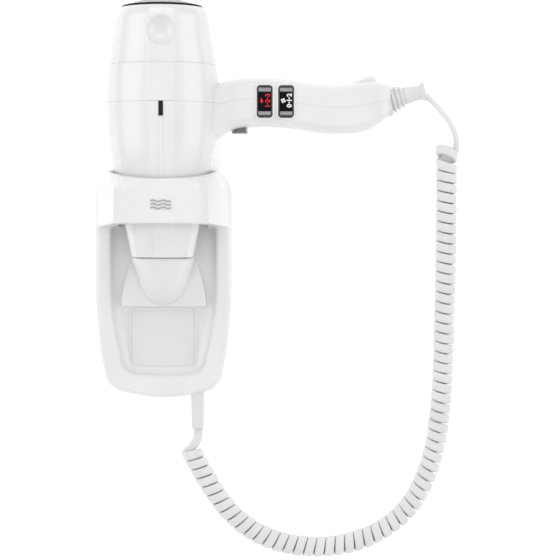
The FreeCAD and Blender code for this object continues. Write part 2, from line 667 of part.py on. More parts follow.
def switch_frame(x):
    """Switch housing: a slim frame in the grip's face around a pocket for the rocker."""
    half_x, half_z = SWITCH_WIDTH / 2, SWITCH_HEIGHT / 2
    back_y = FACE_Y + 14.0
    body = box((x - half_x, FACE_Y, SWITCH_Z - half_z), (x + half_x, back_y, SWITCH_Z + half_z))
    upright_edges = [e for e in body.Edges if abs(e.Length - 14.0) < 1e-6]
    body = body.makeFillet(2.2, upright_edges)
    pocket = box((x - half_x + 0.9, FACE_Y - 1, SWITCH_Z - 10.95),
                 (x + half_x - 0.9, back_y - 3.0, SWITCH_Z + 10.95))
    body = body.cut(pocket)
    pin = rod((x - half_x, ROCKER_PIVOT_Y, SWITCH_Z), (x + half_x, ROCKER_PIVOT_Y, SWITCH_Z), 0.8)
    pin = pin.common(box((x - half_x + 0.3, -80, 0), (x + half_x - 0.3, 0, 200)))
    terminals = [box((x - 0.4, back_y, z - 2), (x + 0.4, back_y + 5, z + 2))
                 for z in (SWITCH_Z - 7, SWITCH_Z, SWITCH_Z + 7)]
    return union([body, pin] + terminals)


def rocker(x):
    """Rocker with curved ends about its pivot and a shallow V across its face."""
    half_x = SWITCH_WIDTH / 2 - 1.2
    start = (x - half_x, ROCKER_PIVOT_Y, SWITCH_Z)
    disc = rod(start, (x + half_x, ROCKER_PIVOT_Y, SWITCH_Z), ROCKER_REACH)
    low_y, middle_y, end_y = ROCKER_PIVOT_Y + 3.0, FACE_Y + 0.1, FACE_Y - 1.6
    reach = ROCKER_REACH + 1
    points = [(low_y, -reach), (end_y, -reach), (middle_y, 0), (end_y, reach), (low_y, reach)]
    profile = [Vector(x - half_x, y, SWITCH_Z + z) for y, z in points]
    block = Part.Face(Part.makePolygon(profile + profile[:1])).extrude(Vector(2 * half_x, 0, 0))
    body = largest(disc.common(block))
    return body.cut(rod((x - 9, ROCKER_PIVOT_Y, SWITCH_Z), (x + 9, ROCKER_PIVOT_Y, SWITCH_Z), 0.85))


def cold_shot_button():
    cap = button_form(0.0, BUTTON_LOW_Z, BUTTON_LOW_Z + BUTTON_DEPTH)
    low_edges = [e for e in cap.Edges if all(abs(v.Point.z - BUTTON_LOW_Z) < 1e-6 for v in e.Vertexes)]
    cap = cap.makeFillet(0.8, low_edges)
    stem = upright(1.4, BUTTON_LOW_Z + 6.0, BUTTON_LOW_Z + 13.0, x=BUTTON_X)
    return union([cap, stem])


def cold_shot_switch():
    low = BUTTON_SWITCH_Z
    body = box((BUTTON_X - 7, AXIS_Y - 5, low), (BUTTON_X + 7, AXIS_Y + 5, low + 9.0))
    return body.cut(upright(1.7, low - 1, low + 6.5, x=BUTTON_X))


def button_spring():
    """The return spring, as a stack of separate turns."""
    wire, radius, turns = 0.25, 2.7, 4
    low, high = BUTTON_LOW_Z + BUTTON_DEPTH + wire + 0.05, BUTTON_SWITCH_Z - wire - 0.05
    heights = [low + (high - low) * index / (turns - 1) for index in range(turns)]
    return group([Part.makeTorus(radius, wire, Vector(BUTTON_X, AXIS_Y, z), Vector(0, 0, 1)) for z in heights])


def circuit_board():
    board = box((116.0, AXIS_Y - 0.8, 122.5), (144.0, AXIS_Y + 0.8, 145.0))
    parts = [box((119, AXIS_Y - 7, 126), (127, AXIS_Y - 0.8, 134)),
             box((130, AXIS_Y - 5, 137), (142, AXIS_Y - 0.8, 142)),
             rod((136, AXIS_Y - 8.5, 129), (136, AXIS_Y - 0.8, 129), 3.5)]
    return union([board] + parts)


def handle_cable_clamp():
    """Bar that pinches the cable just inside the end of the grip."""
    bar = box((156.5, AXIS_Y - 9.0, 136.0), (162.0, AXIS_Y + 9.0, 139.0))
    return bar.fuse(box((156.5, AXIS_Y - 9.0, 143.0), (162.0, AXIS_Y + 9.0, 145.5))).fuse(
        box((156.5, AXIS_Y + 6.5, 136.0), (162.0, AXIS_Y + 9.0, 145.5))).removeSplitter()


def shell_screws():
    screws = []
    for x in SHELL_SCREW_X:
        head = screw((x, AXIS_Y, 149.55), (0, 0, 1), 2.4, 1.8)
        shank = upright(1.2, 124.0, 149.55, x=x)
        screws.append(union([head, shank]))
    return group(screws)


# ---- cord ---------------------------------------------------------------------------------------------

def cord_piece(name, points, radius):
    solid, length, radii = tube_along(points, radius)
    expected = math.pi * radius ** 2 * length
    print(name, "length %.1f volume %.0f of %.0f radii %s" % (
        length, solid.Volume, expected, [round(r, 1) for r in radii]))
    return solid


# ---- all nodes ----------------------------------------------------------------------------------------

def nodes():
    front_shell, rear_shell = shell_pair()
    return {
        "base_plate": base_plate(),
        "front_cover": front_cover(),
        "holder_hoop": holder_hoop(),
        "air_deflector": air_deflector(),
        "blank_panel": blank_panel(),
        "terminal_block": terminal_block(),
        "terminal_screws": terminal_screws(),
        "cable_clamp": cable_clamp(),
        "clamp_screws": clamp_screws(),
        "cover_screws": cover_screws(),
        "safety_switch": safety_switch(),
        "safety_lever": safety_lever(),
        "lever_bracket": lever_bracket(),
        "holder_cord_boot": holder_cord_boot(),
        "front_shell": front_shell,
        "rear_shell": rear_shell,
        "slot_insert": slot_insert(),
        "hanging_lug": hanging_lug(),
        "handle_cord_boot": handle_cord_boot(),
        "rear_cap": rear_cap(),
        "chrome_ring": chrome_ring(),
        "inlet_grille": inlet_grille(),
        "dust_filter": dust_filter(),
        "filter_frame": filter_frame(),
        "fan_impeller": fan_impeller(),
        "motor_shaft": motor_shaft(),
        "motor_can": motor_can(),
        "motor_mount": motor_mount(),
        "heat_shield": heat_shield(),
        "heater_frame": heater_frame(),
        "heater_coil": heater_coil(),
        "thermostat": thermostat(),
        "thermal_fuse": thermal_fuse(),
        "outlet_grille": outlet_grille(),
        "heat_switch_frame": switch_frame(SWITCH_X[0]),
        "speed_switch_frame": switch_frame(SWITCH_X[1]),
        "heat_rocker": rocker(SWITCH_X[0]),
        "speed_rocker": rocker(SWITCH_X[1]),
        "cold_shot_button": cold_shot_button(),
        "cold_shot_switch": cold_shot_switch(),
        "button_spring": button_spring(),
        "circuit_board": circuit_board(),
        "handle_cable_clamp": handle_cable_clamp(),
        "shell_screws": shell_screws(),
        "cord_upper_lead": cord_piece("upper lead", UPPER_LEAD, LEAD_R),
        "cord_coil": cord_piece("coil", COIL, COIL_R),
        "cord_lower_lead": cord_piece("lower lead", LOWER_LEAD, LEAD_R),
    }


def main():
    os.makedirs("parts", exist_ok=True)
    for name, shape in nodes().items():
        for solid in shape.Solids:
            if not solid.isValid() or solid.Volume <= 0:
                print("invalid solid in", name)
        if not shape.Solids:
            print("no solid in", name)
        shape.exportStep("parts/%s.step" % name)


main()
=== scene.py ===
import math

import bmesh
import bpy
import numpy as np
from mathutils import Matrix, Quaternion, Vector


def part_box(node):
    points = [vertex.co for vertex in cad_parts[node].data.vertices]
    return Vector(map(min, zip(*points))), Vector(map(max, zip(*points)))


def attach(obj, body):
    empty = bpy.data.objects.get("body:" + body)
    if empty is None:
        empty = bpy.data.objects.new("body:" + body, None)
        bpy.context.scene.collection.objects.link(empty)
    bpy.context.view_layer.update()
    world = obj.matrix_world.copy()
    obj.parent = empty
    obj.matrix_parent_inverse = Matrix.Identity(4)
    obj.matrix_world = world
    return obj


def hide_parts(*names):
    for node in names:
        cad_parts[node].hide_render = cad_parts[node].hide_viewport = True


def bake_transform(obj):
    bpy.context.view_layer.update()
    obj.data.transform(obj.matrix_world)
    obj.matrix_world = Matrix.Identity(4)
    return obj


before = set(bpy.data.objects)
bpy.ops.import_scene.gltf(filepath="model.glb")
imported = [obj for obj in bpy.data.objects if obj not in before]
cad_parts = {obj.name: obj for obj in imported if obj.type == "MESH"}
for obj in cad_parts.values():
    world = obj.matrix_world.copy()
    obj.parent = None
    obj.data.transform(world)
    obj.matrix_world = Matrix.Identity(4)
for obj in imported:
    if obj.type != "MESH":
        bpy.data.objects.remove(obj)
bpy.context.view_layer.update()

# Lengths below are millimetres in the frame's axes: the wall is Y = 0, +X is right and +Z is up.
MM = 0.001
HOLDER, HANDSET = "wall_holder", "handset"


def node_box(node):
    """A CAD node's low and high corners in millimetres."""
    low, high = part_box(node)
    return np.array(low) / MM, np.array(high) / MM


def node_middle(node):
    """A CAD node's middle and half size in millimetres."""
    low, high = node_box(node)
    return (low + high) / 2, (high - low) / 2


AXIS_Y = float(node_middle("chrome_ring")[0][1])
MOUTH_Z = node_box("front_shell")[0][2]
CAP_TOP_Z = node_box("chrome_ring")[0][2]
RIM_Y = node_box("front_cover")[0][1]
HOLDER_LOW_Z, HOLDER_TOP_Z = -87.2, 84.0
PANEL_Y = -12.0            # floor of the holder's recess
SEAM_Z = 137.5             # the two shells part here
CAP_SEAM_Z = 166.0
SEAM_HALF = 0.03           # half the gap at a seam
WALL = 2.2
LEAN = 0.042               # the barrel's seams and rims rise this much per millimetre towards the front
BARREL = [                 # (z, radius) of the outside, from mouth to rear
    (MOUTH_Z, 23.3), (44.0, 27.6), (66.0, 32.2), (88.0, 36.8), (108.0, 40.4), (124.0, 42.2),
    (140.0, 42.8), (156.0, 41.9), (172.0, 39.9), (190.0, 36.7), (204.5, 34.2), (CAP_TOP_Z, 31.6),
]


# ---- mesh helpers --------------------------------------------------------------------------------------

def smooth_between(xs, ys, x):
    """Smooth curve through a table's points, with slopes taken from each point's neighbours."""
    xs, ys, x = np.asarray(xs, float), np.asarray(ys, float), np.asarray(x, float)
    slopes = np.gradient(ys, xs)
    i = np.clip(np.searchsorted(xs, x) - 1, 0, len(xs) - 2)
    h = xs[i + 1] - xs[i]
    t = np.clip((x - xs[i]) / h, 0, 1)
    return ((2 * t ** 3 - 3 * t ** 2 + 1) * ys[i] + (t ** 3 - 2 * t ** 2 + t) * h * slopes[i]
            + (3 * t ** 2 - 2 * t ** 3) * ys[i + 1] + (t ** 3 - t ** 2) * h * slopes[i + 1])


def ramp(low, high, x):
    """Smooth step from 0 at low to 1 at high."""
    t = np.clip((np.asarray(x, float) - low) / (high - low), 0, 1)
    return t * t * (3 - 2 * t)


def grid_faces(rows, columns, wrap_rows, wrap_columns):
    """Quads of a grid of points, joined round on itself where asked."""
    faces = []
    for r in range(rows if wrap_rows else rows - 1):
        s = (r + 1) % rows
        for c in range(columns if wrap_columns else columns - 1):
            d = (c + 1) % columns
            faces.append((r * columns + c, r * columns + d, s * columns + d, s * columns + c))
    return faces


def closed_faces(rows, columns, first=0):
    """Faces of a stack of closed rings with flat ends, numbered from point first."""
    faces = grid_faces(rows, columns, False, True)
    faces += [tuple(range(columns)), tuple((rows - 1) * columns + c for c in range(columns))]
    return [tuple(first + i for i in face) for face in faces]


def new_object(name, data):
    obj = bpy.data.objects.new(name, data)
    bpy.context.scene.collection.objects.link(obj)
    return obj


def make_piece(name, points, faces, material, sharp_degrees=32):
    mesh = bpy.data.meshes.new(name)
    mesh.from_pydata((np.asarray(points) * MM).tolist(), [], faces)
    return piece_from_mesh(name, mesh, material, sharp_degrees)


def piece_from_mesh(name, mesh, material, sharp_degrees=32):
    fix_normals(mesh)
    obj = new_object(name, mesh)
    mesh.materials.clear()
    mesh.materials.append(material)
    shade(mesh, sharp_degrees)
    return obj


def fix_normals(mesh):
    work = bmesh.new()
    work.from_mesh(mesh)
    bmesh.ops.recalc_face_normals(work, faces=work.faces)
    work.to_mesh(mesh)
    work.free()


def shade(mesh, sharp_degrees):
    mesh.polygons.foreach_set("use_smooth", [True] * len(mesh.polygons))
    mesh.set_sharp_from_angle(angle=math.radians(sharp_degrees))


def place(obj, body, slot, *nodes):
    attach(obj, body)
    if nodes:
        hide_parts(*nodes)
    return obj


def loft_solid(name, rings, material, sharp_degrees=32):
    """Closed solid from rings of equal length, its two ends closed by flat faces."""
    rings = np.asarray(rings, float)
    return make_piece(name, rings.reshape(-1, 3), closed_faces(*rings.shape[:2]), material, sharp_degrees)


def hoop_solid(name, rings, material, sharp_degrees=32):
    """Closed solid whose rings run round a closed profile."""
    rings = np.asarray(rings, float)
    faces = grid_faces(*rings.shape[:2], True, True)
    return make_piece(name, rings.reshape(-1, 3), faces, material, sharp_degrees)


def turned_solid(name, profile, material, columns=128, sharp_degrees=32):
    """Solid of revolution about the barrel's axis from a closed (radius, z) profile."""
    turn = np.linspace(0, 2 * math.pi, columns, endpoint=False)
    rings = [np.stack([r * np.sin(turn), AXIS_Y - r * np.cos(turn), np.full(columns, z)], 1)
             for r, z in profile]
    return hoop_solid(name, rings, material, sharp_degrees)


def cut(target, cutter):
    """Cuts one closed mesh from another and removes the cutter."""
    modifier = target.modifiers.new("cut", "BOOLEAN")
    modifier.operation = "DIFFERENCE"
    modifier.solver = "EXACT"
    modifier.object = cutter
    graph = bpy.context.evaluated_depsgraph_get()
    graph.update()
    mesh = bpy.data.meshes.new_from_object(target.evaluated_get(graph))
    target.modifiers.clear()
    old = target.data
    target.data = mesh
    bpy.data.meshes.remove(old)
    bpy.data.objects.remove(cutter)
    return target


def join(name, objects, sharp_degrees=32):
    """One piece from several closed meshes."""
    work = bmesh.new()
    for obj in objects:
        work.from_mesh(obj.data)
    mesh = bpy.data.meshes.new(name)
    work.to_mesh(mesh)
    work.free()
    material = objects[0].data.materials[0]
    for obj in objects:
        bpy.data.objects.remove(obj)
    return piece_from_mesh(name, mesh, material, sharp_degrees)


def rounded_rectangle(half_x, half_z, radius, steps=6):
    """Closed outline of a rounded rectangle about the origin."""
    points = []
    for quarter, (sx, sz) in enumerate([(1, 1), (-1, 1), (-1, -1), (1, -1)]):
        for step in range(steps + 1):
            angle = math.pi / 2 * (quarter + step / steps)
            points.append((sx * (half_x - radius) + radius * math.cos(angle),
                           sz * (half_z - radius) + radius * math.sin(angle)))
    return np.array(points)


def level_ring(outline, x, z, level):
    """An (x, z) outline about a centre, at one depth."""
    return np.stack([x + outline[:, 0], np.full(len(outline), level), z + outline[:, 1]], 1)


def quarter_round(radius, steps=4):
    """Steps of an edge's rounding, as the distances left to its two faces."""
    angles = [math.pi / 2 * k / steps for k in range(steps + 1)]
    return [(radius * (1 - math.sin(a)), radius * (1 - math.cos(a))) for a in angles]


def rounded_block(name, centre, half, low, high, corner, edge, material, axis=1):
    """Plate or key with rounded corners and a rounded edge on its front, low to high along an axis."""
    profile = [(0.0, high)] + [(inset, low + rise) for inset, rise in reversed(quarter_round(edge))]
    rings = []
    for inset, level in profile:
        outline = rounded_rectangle(half[0] - inset, half[1] - inset, max(corner - inset, 0.15))
        ring = np.zeros((len(outline), 3))
        across = [k for k in range(3) if k != axis]
        ring[:, across[0]] = centre[0] + outline[:, 0]
        ring[:, across[1]] = centre[1] + outline[:, 1]
        ring[:, axis] = level
        rings.append(ring)
    return loft_solid(name, rings, material)


# ---- materials ------------------------------------------------------------------------------------------

def new_material(name):
    material = bpy.data.materials.new(name)
    material.use_nodes = True
    nodes = material.node_tree.nodes
    nodes.clear()
    shader = nodes.new("ShaderNodeBsdfPrincipled")
    output = nodes.new("ShaderNodeOutputMaterial")
    material.node_tree.links.new(shader.outputs[0], output.inputs[0])
    return material, shader


def tree_of(material):
    return material.node_tree.nodes, material.node_tree.links


def set_inputs(node, values):
    for name, value in values.items():
        node.inputs[name].default_value = value


def noise(material, scale, detail=3.0):
    nodes, links = tree_of(material)
    place_node = nodes.new("ShaderNodeTexCoord")
    texture = nodes.new("ShaderNodeTexNoise")
    set_inputs(texture, {"Scale": scale, "Detail": detail})
    links.new(place_node.outputs["Object"], texture.inputs["Vector"])
    return texture.outputs["Fac"]


NOISE_SPAN = (0.3, 0.7)    # the range that most of a noise pattern's values are in


def spread(material, factor, low, high):
    """Maps a pattern to a range of values or to a blend of two colours."""
    nodes, links = tree_of(material)
    if isinstance(low, tuple):
        mix = nodes.new("ShaderNodeValToRGB")
        for element, position, end in zip(mix.color_ramp.elements, NOISE_SPAN, (low, high)):
            element.position, element.color = position, (*end, 1)
        links.new(factor, mix.inputs[0])
        return mix.outputs[0]
    remap = nodes.new("ShaderNodeMapRange")
    set_inputs(remap, {"From Min": NOISE_SPAN[0], "From Max": NOISE_SPAN[1], "To Min": low, "To Max": high})
    links.new(factor, remap.inputs["Value"])
    return remap.outputs["Result"]


def bump(material, shader, height, strength, distance):
    nodes, links = tree_of(material)
    node = nodes.new("ShaderNodeBump")
    set_inputs(node, {"Strength": strength, "Distance": distance})
    links.new(height, node.inputs["Height"])
    links.new(node.outputs[0], shader.inputs["Normal"])


def grey(level):
    """A colour as given, or the grey of that level."""
    return level if isinstance(level, tuple) else (level, level, level)


def moulded(name, low, high, rough, grain=900.0, grain_depth=0.00002, coat=0.0, soft=0.0, shine=0.5):
    """Moulded plastic or rubber: faint colour drift, uneven gloss and a fine skin texture."""
    material, shader = new_material(name)
    links = material.node_tree.links
    drift = spread(material, noise(material, 35.0), grey(low), grey(high))
    links.new(drift, shader.inputs["Base Color"])
    gloss = spread(material, noise(material, 120.0, 4.0), rough * 0.85, rough * 1.15)
    links.new(gloss, shader.inputs["Roughness"])
    bump(material, shader, noise(material, grain, 2.0), 0.25, grain_depth)
    set_inputs(shader, {
        "Specular IOR Level": shine, "Coat Weight": coat, "Coat Roughness": 0.04, "Subsurface Weight": soft,
        "Subsurface Radius": (0.004, 0.004, 0.004), "Subsurface Scale": 0.3})
    return material


def metal(name, low, high, rough, grain=(1.0, 1.0, 1.0), scale=400.0):
    """Plated or brushed metal, its grain stretched along the axis with the small factor."""
    material, shader = new_material(name)
    nodes, links = tree_of(material)
    place_node = nodes.new("ShaderNodeTexCoord")
    stretch = nodes.new("ShaderNodeMapping")
    stretch.inputs["Scale"].default_value = grain
    texture = nodes.new("ShaderNodeTexNoise")
    texture.inputs["Scale"].default_value = scale
    links.new(place_node.outputs["Object"], stretch.inputs["Vector"])
    links.new(stretch.outputs[0], texture.inputs["Vector"])
    links.new(spread(material, texture.outputs["Fac"], low, high), shader.inputs["Base Color"])
    links.new(spread(material, texture.outputs["Fac"], rough * 0.7, rough * 1.3), shader.inputs["Roughness"])
    bump(material, shader, texture.outputs["Fac"], 0.15, 0.00002)
    shader.inputs["Metallic"].default_value = 1.0
    return material


SHELL = moulded("shell_gloss", 0.78, 0.81, 0.20, 260.0, coat=0.3, shine=0.45)
HOLDER_WHITE = moulded("holder_gloss", 0.79, 0.82, 0.24, 260.0, coat=0.2, shine=0.4)
PANEL = moulded("panel_satin", 0.75, 0.78, 0.42, 1500.0, 0.00005)
BASE = moulded("base_matt", (0.70, 0.70, 0.69), (0.74, 0.74, 0.73), 0.55, 1200.0, 0.00006)
BOOT = moulded("boot_satin", 0.71, 0.75, 0.34, 1200.0, 0.00004, coat=0.1)
CORD = moulded("cord_satin", (0.72, 0.72, 0.725), 0.77, 0.36, 900.0, 0.00004, shine=0.35)
BLACK = moulded("black_plastic", 0.010, 0.020, 0.38, 1200.0, 0.00004, shine=0.2)
ROCKER_FACE = moulded("rocker_gloss", (0.004, 0.004, 0.005), (0.009, 0.009, 0.010), 0.14, 500.0, shine=0.15)
ROCKER_GREY = moulded("rocker_grey", (0.31, 0.31, 0.32), (0.39, 0.39, 0.40), 0.34, 1400.0, 0.00004)
FRAME_GREY = moulded("frame_grey", (0.070, 0.070, 0.075), (0.105, 0.105, 0.110), 0.26, 1400.0, 0.00004)
RED_PRINT = moulded("red_print", (0.62, 0.015, 0.03), (0.75, 0.03, 0.05), 0.35, 1500.0)
WHITE_PRINT = moulded("white_print", 0.85, 0.92, 0.40, 1500.0)
GREY_PRINT = moulded("grey_print", (0.30, 0.31, 0.32), (0.38, 0.39, 0.40), 0.40, 1500.0)
NYLON = moulded("nylon", (0.62, 0.60, 0.54), (0.70, 0.68, 0.62), 0.45, 900.0, 0.00004, soft=0.1)
FAN = moulded("fan_plastic", (0.035, 0.035, 0.04), (0.06, 0.06, 0.065), 0.45, 900.0, 0.00006)
MICA = moulded("mica", (0.36, 0.30, 0.20), (0.52, 0.45, 0.33), 0.50, 300.0, 0.00008)
BOARD = moulded("board", (0.02, 0.12, 0.05), (0.04, 0.18, 0.08), 0.40, 500.0, 0.00003)
FILTER = moulded("filter_foam", 0.05, 0.10, 0.80, 2500.0, 0.0002)
CHROME = metal("chrome", (0.38, 0.385, 0.40), (0.52, 0.525, 0.54), 0.10)
DARK_CHROME = metal("dark_chrome", (0.018, 0.018, 0.021), (0.040, 0.040, 0.044), 0.16)
MESH_STEEL = metal("mesh_steel", (0.76, 0.77, 0.78), (0.88, 0.88, 0.89), 0.34)
STEEL = metal("steel", (0.45, 0.46, 0.48), (0.58, 0.59, 0.61), 0.30, (1.0, 1.0, 0.05))
BRASS = metal("brass", (0.55, 0.38, 0.13), (0.70, 0.50, 0.20), 0.28)
WIRE = metal("wire", (0.20, 0.18, 0.17), (0.32, 0.29, 0.27), 0.35)


# ---- camera, light and stage ----------------------------------------------------------------------------

EYE = Vector((43.8, -1542.6, 106.3)) * MM
AIM = Vector((90.0, 0.0, 2.4)) * MM
LENS, SENSOR = 127.6, 36.0
ROLL = 0.0034
WALL_GLOW = 0.22           # keeps the wall white behind the object


def make_camera():
    data = bpy.data.cameras.new("camera")
    data.lens = LENS
    data.sensor_width = SENSOR
    camera = new_object("camera", data)
    camera.location = EYE
    camera.rotation_mode = "QUATERNION"
    turn = (AIM - EYE).to_track_quat("-Z", "Y")
    camera.rotation_quaternion = turn @ Quaternion((0, 0, 1), ROLL)
    bpy.context.scene.camera = camera


def area_light(name, at, towards, size, power):
    data = bpy.data.lights.new(name, "AREA")
    data.shape = "RECTANGLE"
    data.size, data.size_y = size
    data.energy = power
    light = new_object(name, data)
    light.location = Vector(at)
    light.rotation_mode = "QUATERNION"
    light.rotation_quaternion = (Vector(towards) - Vector(at)).to_track_quat("-Z", "Y")
    return light


def paint(name, low, high, scale, rough):
    """Plain paint that drifts between two grey levels."""
    material, shader = new_material(name)
    drift = spread(material, noise(material, scale), grey(low), grey(high))
    material.node_tree.links.new(drift, shader.inputs["Base Color"])
    shader.inputs["Roughness"].default_value = rough
    return material, shader


def make_stage():
    wall_paint, shader = paint("stage_wall", 0.98, 0.99, 12.0, 0.9)
    set_inputs(shader, {"Emission Color": (1.0, 1.0, 1.0, 1.0), "Emission Strength": WALL_GLOW})
    floor_paint, _ = paint("stage_floor", 0.80, 0.86, 6.0, 0.7)
    left, right, back, low, high, far = -700, 900, 0.6, -480, 520, 2600
    wall = plane("stage_wall", [(left, back, low), (right, back, low), (right, back, high), (left, back, high)],
                 wall_paint)
    floor = plane("stage_floor", [(-far, -far, low), (far, -far, low), (far, far, low), (-far, far, low)],
                  floor_paint)
    one_sided(wall_paint)


def plane(name, corners, material):
    mesh = bpy.data.meshes.new(name)
    mesh.from_pydata([Vector(c) * MM for c in corners], [], [tuple(range(len(corners)))])
    mesh.materials.append(material)
    return new_object(name, mesh)


def one_sided(material):
    """Clear from behind, so that the wall doesn't hide the holder's back."""
    nodes, links = tree_of(material)
    shader = next(n for n in nodes if n.type == "BSDF_PRINCIPLED")
    output = next(n for n in nodes if n.type == "OUTPUT_MATERIAL")
    side = nodes.new("ShaderNodeNewGeometry")
    clear = nodes.new("ShaderNodeBsdfTransparent")
    mix = nodes.new("ShaderNodeMixShader")
    links.new(side.outputs["Backfacing"], mix.inputs[0])
    links.new(shader.outputs[0], mix.inputs[1])
    links.new(clear.outputs[0], mix.inputs[2])
    links.new(mix.outputs[0], output.inputs[0])


def make_light():
    world = bpy.data.worlds.new("studio")
    world.use_nodes = True
    background = world.node_tree.nodes["Background"]
    background.inputs[0].default_value = (1.0, 1.0, 1.0, 1.0)
    background.inputs[1].default_value = 0.34
    bpy.context.scene.world = world
    area_light("softbox_left", (-1.32, -0.70, 0.35), (0.0, -0.05, 0.05), (0.7, 1.5), 6.0)
    area_light("softbox_right", (1.42, -0.74, 0.30), (0.05, -0.05, 0.0), (0.7, 1.5), 5.8)
    area_light("softbox_top", (0.0, -0.85, 1.25), (0.05, -0.03, 0.0), (1.4, 0.6), 5.2)
    fill = area_light("softbox_front", (0.04, -2.2, 0.22), (0.05, 0.0, 0.0), (1.2, 1.2), 14.5)
    fill.visible_glossy = False
    bpy.context.scene.view_settings.view_transform = "Standard"


# ---- barrel -----------------------------------------------------------------------------------------------

STRIP_HALF = 9.2           # half-width of the flat strip down the barrel's front
RIB_HALF = 1.5
SLOT_HALF = 1.6
SLOT_LOW_Z = 126.6
SLOT_DEPTH = 1.5
STRIP_DEPTH = 0.45
CORNERS = (50.0, 130.0)    # the barrel's soft corners, in degrees from its front
SOFT_CORNER = 2.2          # half the width of a corner's rounding, in degrees
BARREL_FULLNESS = 1.022    # the corners stand out so that the flattened sides keep the stated radius


def facet(angle, low, high, strength):
    """Radius factor of a slightly flattened side between two corners."""
    middle, half = np.radians((low + high) / 2), np.radians((high - low) / 2)
    return 1 - strength + strength * np.cos(half) / np.cos(np.radians(angle) - middle)


def barrel_columns(radius, strip_half, rib_half):
    """Angles from the front, in degrees, crowded at the strip's, rib's and corners' edges."""
    rib = math.degrees(rib_half / radius)
    strip = math.degrees(strip_half / radius)
    edge = math.degrees(0.35 / radius)
    first, second = CORNERS
    parts = [
        (0.0, rib - edge / 2, 2), (rib - edge / 2, rib + edge / 2, 1), (rib + edge / 2, strip - edge, 4),
        (strip - edge, strip + edge, 4), (strip + edge, first - SOFT_CORNER, 14),
        (first - SOFT_CORNER, first + SOFT_CORNER, 6), (first + SOFT_CORNER, second - SOFT_CORNER, 30),
        (second - SOFT_CORNER, second + SOFT_CORNER, 6), (second + SOFT_CORNER, 180.0, 20),
    ]
    half = np.concatenate([np.linspace(a, b, n, endpoint=False) for a, b, n in parts])
    return np.concatenate([half, [180.0], -half[:0:-1]]), strip, rib, edge


def barrel_ring(z, inset, recessed, plain=False):
    """One ring of the barrel's surface at a height, moved in by inset; a plain one has no strip or rib."""
    zs, rs = zip(*BARREL)
    radius = float(smooth_between(zs, rs, z)) * BARREL_FULLNESS
    strip_half = float(np.interp(z, [MOUTH_Z, 50.0, 96.0, SEAM_Z], [6.3, 6.6, 8.2, STRIP_HALF]))
    in_slot = recessed and z > SLOT_LOW_Z
    angles, strip, rib, edge = barrel_columns(radius, strip_half, SLOT_HALF if in_slot else RIB_HALF)
    turn = np.abs(angles)
    first, second = CORNERS
    factor = np.where(
        turn < strip, facet(turn, -strip, strip, 0.8), np.where(
            turn < first, facet(turn, strip, first, 0.42), np.where(
                turn < second, facet(turn, first, second, 0.11), facet(turn, second, 360 - second, 0.11))))
    padded = np.concatenate([factor[-1:], factor, factor[:1]])
    factor = np.convolve(padded, [0.2, 0.6, 0.2], "valid")
    depth = np.zeros(len(angles))
    if recessed and not plain:
        depth = STRIP_DEPTH * (1 - ramp(strip - edge, strip + edge, turn))
        rib_depth = SLOT_DEPTH if in_slot else STRIP_DEPTH * (1 - float(ramp(52.0, 66.0, z)))
        depth = np.where(turn < rib, rib_depth, depth)
    r = radius * factor - depth - inset
    a = np.radians(angles)
    return np.stack([r * np.sin(a), AXIS_Y - r * np.cos(a), np.full(len(a), z)], 1)


def lean(obj):
    """Tilts a barrel piece's seams and rims by a shear along Z that leaves the barrel's middle in place."""
    for vertex in obj.data.vertices:
        vertex.co.z += LEAN * (AXIS_Y * MM - vertex.co.y)
    return obj


def barrel_part(name, low, high, recessed, low_round, high_round, extra_levels=()):
    """Closed tube of barrel between two heights, with rounded rims."""
    even_levels = np.arange(math.ceil((low + low_round) / 2) * 2, high - high_round, 2.0)
    levels = sorted(set(even_levels) | set(extra_levels))
    rows = [(low + rise, inset) for rise, inset in reversed(quarter_round(low_round))]
    rows += [(z, 0.0) for z in levels if low + low_round < z < high - high_round]
    rows += [(high - rise, inset) for rise, inset in quarter_round(high_round)]
    rings = [barrel_ring(z, inset, recessed) for z, inset in rows]
    rings += [barrel_ring(z, WALL, recessed, plain=True) for z in np.linspace(high, low, 8)]
    return lean(hoop_solid(name, rings, SHELL, 28))


# ---- grip -------------------------------------------------------------------------------------------------

GRIP = [                   # (x, middle z, height, depth)
    (30.0, 128.5, 46.0, 40.0), (38.0, 130.2, 44.0, 36.0), (46.0, 134.6, 39.8, 31.6),
    (56.0, 137.9, 37.8, 30.5), (70.0, 139.0, 37.8, 30.5), (86.0, 138.7, 37.5, 30.5),
    (102.0, 137.0, 37.0, 30.5), (118.0, 134.5, 37.0, 30.5), (134.0, 134.2, 37.4, 31.0),
    (148.0, 135.5, 38.0, 31.0), (157.0, 137.6, 36.0, 29.5), (164.0, 139.4, 31.0, 26.5),
    (169.0, 140.6, 24.5, 22.5),
]
PARTING = [(30.0, 137.5), (44.0, 137.5), (54.0, 140.2), (66.0, 141.8), (84.0, 140.8), (102.0, 138.0),
           (122.0, 135.6), (140.0, 135.4), (155.0, 137.8), (170.0, 141.2)]
RIDGE_TOP = 4.8            # the upper ridge line lies this far below the grip's top
RIDGE_LOW = 6.6
GRIP_START_X, GRIP_END_X = 34.0, GRIP[-1][0]
SEAM_LIP = 0.2             # a half's edge turns in by this much at the parting line


